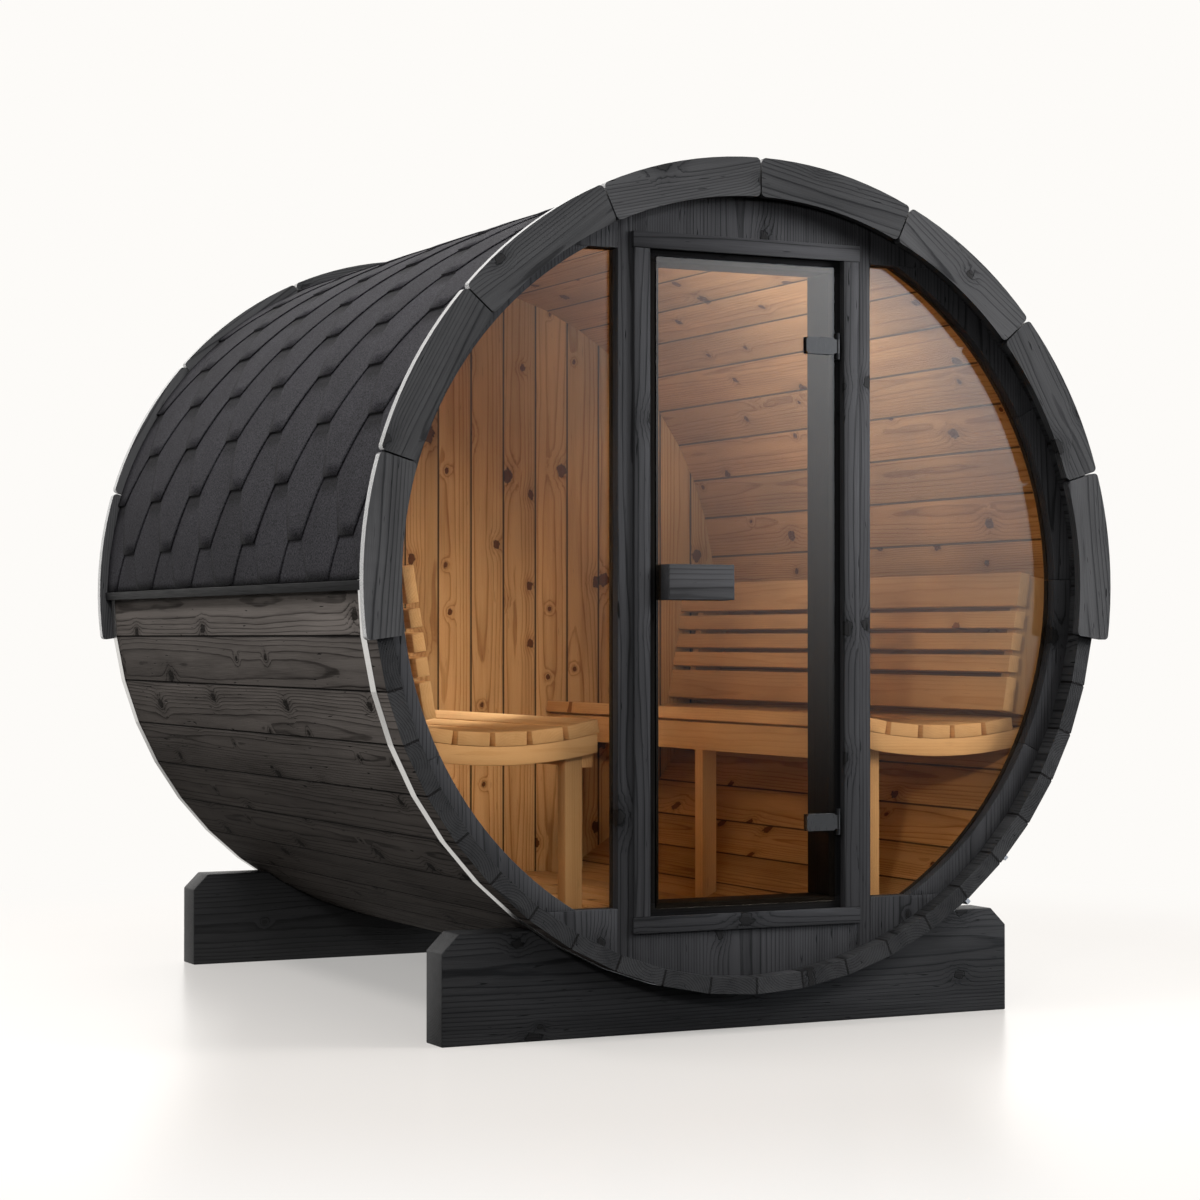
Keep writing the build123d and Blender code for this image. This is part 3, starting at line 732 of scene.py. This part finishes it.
def makePowderCoat(name, look):
    material, tree = emptyMaterial(name)
    place = addNode(tree, "ShaderNodeTexCoord", out="Object")
    inputs = {"Vector": place, "Scale": 1 / look["grainSize"], "Detail": 2.0}
    grain = addNode(tree, "ShaderNodeTexNoise", inputs, "Fac")
    # Painted highlight: the tops of the orange-peel grain are painted lighter
    paintedTopHighlight = shaded(look["colour"], look["grainShade"])
    inputs = {0: grain, 6: linear(look["colour"]), 7: paintedTopHighlight}
    tone = addNode(tree, "ShaderNodeMix", inputs, 2, data_type="RGBA")
    inputs = {"Height": grain, "Strength": look["relief"], "Distance": look["grainDepth"]}
    peel = addNode(tree, "ShaderNodeBump", inputs, 0)
    rough = calculate(tree, grain, ("LINEAR", 0.3, 0.7, *look["roughness"]))
    inputs = {"Base Color": tone, "Roughness": rough, "Normal": peel}
    shader = addNode(tree, "ShaderNodeBsdfPrincipled", inputs, 0)
    addNode(tree, "ShaderNodeOutputMaterial", {"Surface": shader})
    return material


blackPowderCoat = makePowderCoat("blackPowderCoat", powderLook)


# Bronze float glass: a clear smooth sheet that holds back part of the blue. Lamps shine
# through it, so that the room behind is lit.
bronzeGlassLook = {"passes": "#e6d7c4", "ior": 1.5, "roughness": 0.0}


def makeGlass(name, look):
    material, tree = emptyMaterial(name)
    passes = linear(look["passes"])
    sheet = addNode(
        tree,
        "ShaderNodeBsdfPrincipled",
        {
            "Base Color": passes,
            "Roughness": look["roughness"],
            "IOR": look["ior"],
            "Transmission Weight": 1.0,
        },
        0,
    )
    # lamps cross two faces, so each takes the root of the tint
    through = addNode(
        tree,
        "ShaderNodeBsdfTransparent",
        {"Color": [math.sqrt(c) for c in passes[:3]] + [1.0]},
        0,
    )
    lampRay = addNode(tree, "ShaderNodeLightPath", out="Is Shadow Ray")
    shader = addNode(tree, "ShaderNodeMixShader", (lampRay, sheet, through), 0)
    addNode(tree, "ShaderNodeOutputMaterial", {"Surface": shader})
    return material


bronzeGlass = makeGlass("bronzeFloatGlass", bronzeGlassLook)

plainMaterials = {
    "front_strap": stainlessBand,
    "rear_strap": stainlessBand,
    "strap_tensioners": zincPlated,
    "door_hinge_covers": satinNickel,
    "door_hinge_backplates": blackPowderCoat,
    "hinge_jamb_leaves": blackPowderCoat,
    "door_glass": bronzeGlass,
    "window_glass_left": bronzeGlass,
    "window_glass_right": bronzeGlass,
}
for nodeName, material in plainMaterials.items():
    node = frame["nodes"][nodeName]
    node.data.materials.clear()
    node.data.materials.append(material)
print("metal and glass made")


# Roof: strips of hexagonal tabs, each strip half a tab along from the one below
roofLook = {
    "exposure": 0.156,  # how much of each strip shows, up the roof
    "eaveDrop": 0.046,  # how much of the lowest strip is cut off at the eave
    "tabPitch": 0.368,
    "flatShare": 0.275,  # the short edge of a tab, as a share of the pitch
    "firstTab": 0.354,  # middle of a tab of the lowest strip, from the front end
    "thickness": 0.003,
    "courseThickness": 0.0075,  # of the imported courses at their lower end
    "buttHeight": 0.0090,  # from the boards to the top of a tab at its lower end
    "topHeight": 0.0018,
    "bandHeight": 0.060,  # painted shade: the darker band on each strip just under the end of the tab above, where that tab's shadow falls
    "bandReach": (0.155, 0.135),  # from the middle of a tab, as a share of the pitch
    "bandSoft": 0.02,
    "bandDepth": 0.6,
    "curl": 0.0006,  # how far the lower end of a tab lifts or dips by chance
    "overlap": 2.08,  # from butt to top of a strip, in exposures
    "rowsUp": 10,
    "tabs": 10,
    "courses": 10,
    "seed": 4,
}
roofRadius = -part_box("roof_shingles_left")[0].x - roofLook["courseThickness"]


def newTree(name, sockets):
    tree = bpy.data.node_groups.new(name, "GeometryNodeTree")
    tree.interface.new_socket(
        name="Geometry", in_out="OUTPUT", socket_type="NodeSocketGeometry"
    )
    for socketName, kind in sockets.items():
        tree.interface.new_socket(
            name=socketName, in_out="INPUT", socket_type="NodeSocket" + kind
        )
    given = tree.nodes.new("NodeGroupInput")
    return tree, given.outputs


stripSockets = {
    "Length": "Float",
    "Radius": "Float",
    "Exposure": "Float",
    "Pitch": "Float",
    "Flat Share": "Float",
    "First Tab": "Float",
    "Cut Off": "Float",
    "Butt Height": "Float",
    "Top Height": "Float",
    "Rows": "Int",
    "Tabs": "Int",
    "Seed": "Int",
}


def stripTree():
    tree, given = newTree("shingleStrip", stripSockets)
    columns = calculate(tree, given["Tabs"], ("MULTIPLY", 8.0))
    grid = addNode(
        tree,
        "GeometryNodeMeshGrid",
        {
            "Size X": columns,
            "Size Y": 1.0,
            "Vertices X": calculate(tree, columns, ("ADD", 1.0)),
            "Vertices Y": given["Rows"],
        },
        "Mesh",
    )
    spot = addNode(tree, "GeometryNodeInputPosition", out=0)
    x, y, _ = addNode(tree, "ShaderNodeSeparateXYZ", {0: spot}).outputs
    # eight columns to a tab: one flat and three steps of a slant, twice
    column = calculate(tree, columns, ("MULTIPLY", 0.5), ("ADD", x), ("ADD", 0.5), ("FLOOR",))
    half = calculate(tree, column, ("DIVIDE", 4.0), ("FLOOR",))
    step = calculate(tree, column, ("MODULO", 4.0))
    slantStep = calculate(
        tree,
        0.5,
        ("SUBTRACT", given["Flat Share"]),
        ("DIVIDE", 3.0),
        ("MULTIPLY", calculate(tree, step, ("SUBTRACT", 1.0))),
        ("ADD", given["Flat Share"]),
    )
    share = calculate(
        tree,
        slantStep,
        ("MULTIPLY", calculate(tree, step, ("GREATER_THAN", 0.5))),
        ("ADD", calculate(tree, half, ("MULTIPLY", 0.5))),
    )
    halfFlat = calculate(tree, given["Flat Share"], ("MULTIPLY", 0.5))
    start = calculate(
        tree,
        given["First Tab"],
        ("SUBTRACT", calculate(tree, halfFlat, ("MULTIPLY", given["Pitch"]))),
        ("SUBTRACT", calculate(tree, given["Pitch"], ("MULTIPLY", 2.0))),
    )
    along = calculate(
        tree,
        share,
        ("MULTIPLY", given["Pitch"]),
        ("ADD", start),
        ("MAXIMUM", 0.0),
        ("MINIMUM", given["Length"]),
    )
    fromTab = calculate(tree, along, ("SUBTRACT", given["First Tab"]), ("DIVIDE", given["Pitch"]))
    offMiddle = calculate(tree, fromTab, ("WRAP", 0.5, -0.5), ("ABSOLUTE",))
    notch = calculate(
        tree,
        offMiddle,
        ("LINEAR", halfFlat, calculate(tree, 0.5, ("SUBTRACT", halfFlat)), 0.0, 1.0),
    )
    low = calculate(tree, notch, ("MULTIPLY", given["Exposure"]), ("MAXIMUM", given["Cut Off"]))
    top = calculate(tree, given["Exposure"], ("MULTIPLY", roofLook["overlap"]))
    up = calculate(tree, y, ("ADD", 0.5))
    climb = calculate(tree, top, ("SUBTRACT", low), ("MULTIPLY", up), ("ADD", low))
    tabNumber = calculate(tree, fromTab, ("ADD", 0.5), ("FLOOR",))
    curl = roofLook["curl"]
    lift = addNode(
        tree,
        "FunctionNodeRandomValue",
        {"Min": -curl, "Max": curl, "ID": tabNumber, "Seed": given["Seed"]},
        1,
        data_type="FLOAT",
    )
    height = calculate(
        tree,
        climb,
        ("LINEAR", 0.0, top, given["Butt Height"], given["Top Height"]),
        ("ADD", calculate(tree, lift, ("MULTIPLY", calculate(tree, 1.0, ("SUBTRACT", up))))),
        ("ADD", given["Radius"]),
    )
    angle = calculate(tree, climb, ("DIVIDE", given["Radius"]))
    bent = addNode(
        tree,
        "ShaderNodeCombineXYZ",
        {
            0: calculate(tree, angle, ("COSINE",), ("MULTIPLY", height), ("MULTIPLY", -1.0)),
            1: along,
            2: calculate(tree, angle, ("SINE",), ("MULTIPLY", height)),
        },
        0,
    )
    stored = grid
    for label, value in (
        ("tabNumber", tabNumber),
        ("fromTabMiddle", offMiddle),
        ("upTab", climb),
    ):
        stored = addNode(
            tree,
            "GeometryNodeStoreNamedAttribute",
            {"Geometry": stored, "Name": label, "Value": value},
            0,
            data_type="FLOAT",
            domain="POINT",
        )
    inputs = {"Geometry": stored, "Position": bent}
    placed = addNode(tree, "GeometryNodeSetPosition", inputs, 0)
    inputs = {"Geometry": placed, "Distance": 1e-5}
    addNode(tree, "NodeGroupOutput", (addNode(tree, "GeometryNodeMergeByDistance", inputs, 0),))
    return tree


def roofTree(strip, material):
    tree, given = newTree("hexagonalShingleRoof", {**stripSockets, "Courses": "Int"})
    passedOn = {name: given[name] for name in stripSockets}
    courseAngle = calculate(tree, given["Exposure"], ("DIVIDE", given["Radius"]))
    cutAngle = calculate(tree, given["Cut Off"], ("DIVIDE", given["Radius"]))
    parts = []
    for odd in (0, 1):
        firstTab = calculate(
            tree, given["Pitch"], ("MULTIPLY", -0.5 * odd), ("ADD", given["First Tab"])
        )
        inputs = {**passedOn, "First Tab": firstTab, "Cut Off": 0.0}
        course = addNode(tree, "GeometryNodeGroup", inputs, node_tree=strip)
        half = calculate(
            tree, given["Courses"], ("SUBTRACT", 1.0 - odd), ("DIVIDE", 2.0), ("CEIL",)
        )
        line = addNode(tree, "GeometryNodeMeshLine", {"Count": half, "Offset": (0, 0, 0)}, 0)
        number = calculate(
            tree,
            addNode(tree, "GeometryNodeInputIndex", out=0),
            ("MULTIPLY", 2.0),
            ("ADD", 1.0 if odd else 2.0),
        )
        turn = calculate(tree, number, ("MULTIPLY", courseAngle), ("SUBTRACT", cutAngle))
        inputs = {
            "Points": addNode(
                tree,
                "GeometryNodeStoreNamedAttribute",
                {"Geometry": line, "Name": "courseNumber", "Value": number},
                0,
                data_type="FLOAT",
                domain="POINT",
            ),
            "Instance": course.outputs[0],
            "Rotation": addNode(tree, "ShaderNodeCombineXYZ", {1: turn}, 0),
        }
        parts.append(addNode(tree, "GeometryNodeInstanceOnPoints", inputs, 0))
    # the lowest strip is trimmed level with the eave, over a plain starter strip
    for cutOff, backAngle in (
        (given["Cut Off"], cutAngle),
        (given["Exposure"], courseAngle),
    ):
        inputs = {**passedOn, "Cut Off": cutOff}
        lowest = addNode(tree, "GeometryNodeGroup", inputs, node_tree=strip)
        turn = calculate(tree, backAngle, ("MULTIPLY", -1.0))
        inputs = {
            "Geometry": lowest.outputs[0],
            "Rotation": addNode(tree, "ShaderNodeCombineXYZ", {1: turn}, 0),
        }
        parts.append(addNode(tree, "GeometryNodeTransform", inputs, 0))
    joined = tree.nodes.new("GeometryNodeJoinGeometry")
    for part in parts:
        tree.links.new(part, joined.inputs[0])
    solid = addNode(tree, "GeometryNodeRealizeInstances", {0: joined.outputs[0]}, 0)
    inputs = {"Geometry": solid, "Material": material}
    addNode(tree, "NodeGroupOutput", (addNode(tree, "GeometryNodeSetMaterial", inputs, 0),))
    return tree


def bakeTree(name, tree, values):
    holder = bpy.data.objects.new(name, bpy.data.meshes.new(name))
    bpy.context.scene.collection.objects.link(holder)
    modifier = holder.modifiers.new(name, "NODES")
    modifier.node_group = tree
    for item in tree.interface.items_tree:
        if item.in_out == "INPUT" and item.name in values:
            modifier[item.identifier] = values[item.name]
    bpy.context.view_layer.update()
    evaluated = holder.evaluated_get(bpy.context.evaluated_depsgraph_get())
    mesh = bpy.data.meshes.new_from_object(evaluated)
    bpy.data.objects.remove(holder)
    mesh.name = name
    return mesh


# Bitumen shingle with slate granules: matt charcoal speckled with lighter and darker grit
granuleLook = {
    "dark": "#141316",
    "light": "#363539",
    "gritSize": 0.0042,  # real grit is about 1.5 mm; drawn coarser so that it shows
    "gritEdge": (0.34, 0.68),
    "cloudScale": 7.0,
    "cloudSpan": (0.86, 1.14),  # lighter and darker in large clouds
    "tabSpan": (0.90, 1.10),  # and from tab to tab
    "roughness": 0.88,
    "shine": 0.15,
    "relief": 0.5,
    "gritDepth": 0.002,
}


def makeGranules():
    material, tree = emptyMaterial("slateGranuleBitumen")
    place = addNode(tree, "ShaderNodeTexCoord", out="Object")
    grit = addNode(
        tree,
        "ShaderNodeTexNoise",
        {"Vector": place, "Scale": 1 / granuleLook["gritSize"], "Detail": 2.0},
        "Fac",
    )
    cloud = addNode(
        tree,
        "ShaderNodeTexNoise",
        {"Vector": place, "Scale": granuleLook["cloudScale"], "Detail": 3.0},
        "Fac",
    )
    tabNumber, courseNumber, fromTabMiddle, upTab = (
        addNode(tree, "ShaderNodeAttribute", out="Fac", attribute_name=label)
        for label in ("tabNumber", "courseNumber", "fromTabMiddle", "upTab")
    )
    tab = addNode(tree, "ShaderNodeCombineXYZ", (tabNumber, courseNumber), 0)
    tabShade = addNode(
        tree, "ShaderNodeTexWhiteNoise", {"Vector": tab}, "Value", noise_dimensions="2D"
    )
    dark, light = linear(granuleLook["dark"]), linear(granuleLook["light"])
    colour = addNode(
        tree,
        "ShaderNodeMix",
        {0: calculate(tree, grit, ("SMOOTHSTEP", *granuleLook["gritEdge"])), 6: dark, 7: light},
        2,
        data_type="RGBA",
    )
    # Painted shade: each strip is darkened in a band just under the end of the tab above it,
    # where that tab's shadow falls
    paintedShadeEnd = 2 * roofLook["exposure"]
    paintedShadeLow, paintedShadeHigh = paintedShadeEnd - roofLook["bandHeight"], paintedShadeEnd - roofLook["bandSoft"]
    reach, depth = roofLook["bandReach"], roofLook["bandDepth"]
    paintedShade = calculate(
        tree,
        upTab,
        ("SMOOTHSTEP", paintedShadeLow, paintedShadeHigh),
        ("MULTIPLY", calculate(tree, fromTabMiddle, ("SMOOTHSTEP", *reach, 0.0, depth))),
    )
    share = calculate(
        tree,
        tabShade,
        ("LINEAR", 0.0, 1.0, *granuleLook["tabSpan"]),
        ("MULTIPLY", calculate(tree, cloud, ("LINEAR", 0.3, 0.7, *granuleLook["cloudSpan"]))),
        ("MULTIPLY", calculate(tree, 1.0, ("SUBTRACT", paintedShade))),
    )
    shader = addNode(
        tree,
        "ShaderNodeBsdfPrincipled",
        {
            "Base Color": addNode(
                tree, "ShaderNodeVectorMath", {0: colour, 3: share}, 0, operation="SCALE"
            ),
            "Roughness": granuleLook["roughness"],
            "Specular IOR Level": granuleLook["shine"],
            "Normal": addNode(
                tree,
                "ShaderNodeBump",
                {
                    "Height": grit,
                    "Strength": granuleLook["relief"],
                    "Distance": granuleLook["gritDepth"],
                },
                0,
            ),
        },
        0,
    )
    addNode(tree, "ShaderNodeOutputMaterial", {"Surface": shader})
    return material


slateGranules = makeGranules()


# The sheets of one side, moved from the barrel's axis to their place
def placeSheets(mesh, mirrored):
    bm = bmesh.new()
    bm.from_mesh(mesh)
    for vert in bm.verts:
        vert.co.x *= -1 if mirrored else 1
        vert.co.y += frontEnd
        vert.co.z += axisHeight
    if mirrored:
        bmesh.ops.reverse_faces(bm, faces=bm.faces)
    bm.to_mesh(mesh)
    bm.free()


def thicken(piece, thickness):
    modifier = piece.modifiers.new("sheetThickness", "SOLIDIFY")
    modifier.thickness = thickness
    modifier.offset = -1.0


def makeRoof():
    tree = roofTree(stripTree(), slateGranules)
    values = {
        "Length": barrelLength,
        "Radius": roofRadius,
        "Exposure": roofLook["exposure"],
        "Pitch": roofLook["tabPitch"],
        "Flat Share": roofLook["flatShare"],
        "First Tab": roofLook["firstTab"],
        "Cut Off": roofLook["eaveDrop"],
        "Butt Height": roofLook["buttHeight"],
        "Top Height": roofLook["topHeight"],
        "Rows": roofLook["rowsUp"],
        "Tabs": roofLook["tabs"],
        "Seed": roofLook["seed"],
        "Courses": roofLook["courses"],
    }
    for nodeName in ("roof_shingles_left", "roof_shingles_right"):
        name = camelName(nodeName)
        mesh = bakeTree(name, tree, values)
        placeSheets(mesh, nodeName.endswith("right"))
        piece = newPiece(name, mesh, [], "sauna", slotOf[nodeName], [nodeName])
        thicken(piece, roofLook["thickness"])
        print(nodeName, len(mesh.polygons), "faces")


makeRoof()
ridge = frame["nodes"]["roof_ridge_shingles"]
ridge.data.materials.clear()
ridge.data.materials.append(slateGranules)
print("roof laid")


# Floor, light and camera
stageLook = {
    "backdrop": "#fdfbf8",
    "floor": "#cbc6c2",
    "floorBounce": "#302f2d",  # what the floor throws back on the barrel
    "floorReach": 4.2,
    "floorFade": (2.1, 3.9),  # out from the middle, where the floor turns to the backdrop
    "floorGlow": 0.38,  # share of the backdrop's white in the floor that the camera sees
    "floorGloss": 0.25,
    "mirrorWhite": 0.8,  # how white the floor is to what shines
    "mirrorReach": (1.9, 2.8),  # how far out it is so
    "mirrorFrom": (-0.9, -0.3),  # along the barrel, where that white begins
    "skyRise": (0.08, 0.60),  # the sky is dark at the horizon and light above
    "skyBase": 0.01,
    "skyTop": 0.95,
    "hazeColour": "#eef4fd",
    "hazeEdge": (0.38, 0.58),  # sideways, towards the right of the front
    "hazeLeft": 0.12,  # how much of it is left of that edge
    "hazeRise": (-0.08, 0.127),  # from just below the horizon up
    "hazeBend": 1.8,
    "hazeTop": (0.22, 0.50, 1.0, 0.35),  # where it thins out again, and to how much
    "haze": 4.2,
    "behindEdge": (-0.1, 0.3),  # the white behind the barrel, as mirrors see it
    "behindRise": (0.05, 0.35, 1.0, 2.4),  # brighter higher up
}


# Whether a ray comes from the camera, from a mirroring face or straight through glass. A
# ray that was mirrored inside a pane leaves it as a transmission ray, and counts as
# mirrored.
def rayKinds(tree):
    rays = addNode(tree, "ShaderNodeLightPath").outputs
    turned = calculate(tree, rays["Glossy Depth"], ("GREATER_THAN", 0.5))
    mirrored = calculate(
        tree,
        rays["Is Transmission Ray"],
        ("MULTIPLY", turned),
        ("MAXIMUM", rays["Is Glossy Ray"]),
    )
    through = calculate(
        tree,
        rays["Is Transmission Ray"],
        ("MULTIPLY", calculate(tree, 1.0, ("SUBTRACT", turned))),
    )
    return rays["Is Camera Ray"], mirrored, through


def makeFloor():
    bm = bmesh.new()
    bmesh.ops.create_circle(bm, cap_ends=True, radius=stageLook["floorReach"], segments=96)
    mesh = bpy.data.meshes.new("studioFloor")
    bm.to_mesh(mesh)
    bm.free()
    floor = bpy.data.objects.new("studioFloor", mesh)
    bpy.context.scene.collection.objects.link(floor)
    material, tree = emptyMaterial("paleStudioFloor")
    place = addNode(tree, "ShaderNodeTexCoord", out="Object")
    reach = addNode(tree, "ShaderNodeVectorMath", (place,), "Value", operation="LENGTH")
    along = addNode(tree, "ShaderNodeSeparateXYZ", {0: place}, "Y")
    camera, mirrored, _ = rayKinds(tree)
    bounce, seen = linear(stageLook["floorBounce"]), linear(stageLook["floor"])
    lit = addNode(
        tree,
        "ShaderNodeBsdfPrincipled",
        {
            "Base Color": addNode(
                tree, "ShaderNodeMix", {0: camera, 6: bounce, 7: seen}, 2, data_type="RGBA"
            ),
            "Roughness": stageLook["floorGloss"],
        },
        0,
    )
    white = addNode(
        tree, "ShaderNodeEmission", {"Color": linear(stageLook["backdrop"]), "Strength": 1.0}, 0
    )
    inMirrors = calculate(
        tree,
        reach,
        ("SMOOTHSTEP", *stageLook["mirrorReach"], stageLook["mirrorWhite"], 0.0),
        ("MULTIPLY", mirrored),
        ("MULTIPLY", calculate(tree, along, ("SMOOTHSTEP", *stageLook["mirrorFrom"]))),
    )
    fade = calculate(
        tree,
        reach,
        ("SMOOTHSTEP", *stageLook["floorFade"], stageLook["floorGlow"], 1.0),
        ("MULTIPLY", camera),
        ("ADD", inMirrors),
    )
    shader = addNode(tree, "ShaderNodeMixShader", (fade, lit, white), 0)
    addNode(tree, "ShaderNodeOutputMaterial", {"Surface": shader})
    mesh.materials.append(material)


# White to the camera. The object is lit by an even sky that fades at the horizon, and
# what shines mirrors in it a bright screen to the right of the front.
def makeSky():
    world = bpy.data.worlds.new("studioSky")
    bpy.context.scene.world = world
    world.use_nodes = True
    tree = world.node_tree
    tree.nodes.clear()
    way = addNode(tree, "ShaderNodeTexCoord", out="Generated")
    east, north, up = addNode(tree, "ShaderNodeSeparateXYZ", {0: way}).outputs
    sky = calculate(
        tree, up, ("SMOOTHSTEP", *stageLook["skyRise"], stageLook["skyBase"], stageLook["skyTop"])
    )
    rise = calculate(
        tree,
        up,
        ("LINEAR", *stageLook["hazeRise"], 0.0, 1.0),
        ("POWER", stageLook["hazeBend"]),
        ("MULTIPLY", calculate(tree, up, ("SMOOTHSTEP", *stageLook["hazeTop"]))),
    )
    screen = calculate(
        tree,
        east,
        ("SMOOTHSTEP", *stageLook["hazeEdge"], stageLook["hazeLeft"], 1.0),
        ("MULTIPLY", calculate(tree, north, ("LESS_THAN", 0.0))),
        ("MULTIPLY", rise),
        ("MULTIPLY", stageLook["haze"]),
    )
    behind = calculate(
        tree,
        north,
        ("SMOOTHSTEP", *stageLook["behindEdge"]),
        ("MULTIPLY", calculate(tree, up, ("SMOOTHSTEP", *stageLook["behindRise"]))),
    )
    camera, mirrored, through = rayKinds(tree)
    shown = calculate(tree, camera, ("ADD", through))
    hidden = calculate(tree, 1.0, ("SUBTRACT", shown))
    notMirrored = calculate(tree, 1.0, ("SUBTRACT", mirrored))
    strength = calculate(
        tree,
        screen,
        ("ADD", behind),
        ("MULTIPLY", mirrored),
        ("MAXIMUM", calculate(tree, sky, ("MULTIPLY", notMirrored))),
        ("MULTIPLY", hidden),
        ("ADD", shown),
    )
    inHaze = calculate(tree, north, ("SMOOTHSTEP", 0.1, -0.1), ("MULTIPLY", mirrored))
    white, haze = linear(stageLook["backdrop"]), linear(stageLook["hazeColour"])
    tint = addNode(tree, "ShaderNodeMix", {0: inHaze, 6: white, 7: haze}, 2, data_type="RGBA")
    inputs = {"Color": tint, "Strength": strength}
    shade = addNode(tree, "ShaderNodeBackground", inputs, 0)
    addNode(tree, "ShaderNodeOutputWorld", {"Surface": shade})


# A rectangle of light: its two sides, its power in watts, where it stands, what it is
# aimed at and how wide it spreads in degrees
def addLamp(name, size, power, place, target, spread=180):
    lamp = bpy.data.lights.new(name, "AREA")
    lamp.shape = "RECTANGLE"
    lamp.size, lamp.size_y = size
    lamp.energy = power
    lamp.spread = math.radians(spread)
    holder = bpy.data.objects.new(name, lamp)
    holder.location = place
    aim = Vector(target) - Vector(place)
    holder.rotation_euler = aim.to_track_quat("-Z", "Y").to_euler()
    # the panes mirror the sky alone
    holder.visible_glossy = False
    holder.visible_transmission = False
    holder.visible_camera = False
    bpy.context.scene.collection.objects.link(holder)


cameraLook = {
    "lens": 85.08,
    "sensor": 36.0,
    "place": (-3.545, -7.4555, 1.011),
    "turn": (90.747, 0.0, -26.0165),
}


def addCamera():
    lens = bpy.data.cameras.new("photoCamera")
    lens.lens = cameraLook["lens"]
    lens.sensor_width = cameraLook["sensor"]
    camera = bpy.data.objects.new("photoCamera", lens)
    camera.location = cameraLook["place"]
    camera.rotation_euler = [math.radians(turn) for turn in cameraLook["turn"]]
    bpy.context.scene.collection.objects.link(camera)
    bpy.context.scene.camera = camera


makeFloor()
makeSky()
roomFront = frontWallBack + 0.15
lampPlaces = {
    "topPanel": ((3.5, 3.5), 90, (-0.4, -1.2, 5.0), (0, 0, 1.2)),
    "frontPanel": ((1.4, 1.4), 48, (2.7, -2.7, 2.5), (0.4, -1.0, 1.7), 90),
    "leftPanel": ((2.5, 1.0), 195, (-3.6, -0.5, 5.4), (0, 0, 1.6)),
    "keyLamp": ((0.35, 0.35), 80, (-3.2, -5.2, 2.1), (0.4, 0, 1.0)),
    "roomLeft": ((0.25, 0.25), 9, (0.1, roomFront, 1.3), (-0.7, 0.9, 0.6), 80),
    "roomRight": ((0.25, 0.25), 3, (-0.1, roomFront, 1.8), (0.85, 0.2, 1.9), 90),
}
for name, lampPlace in lampPlaces.items():
    addLamp(name, *lampPlace)
addCamera()
bpy.context.scene.view_settings.view_transform = "Standard"
print("stage set")
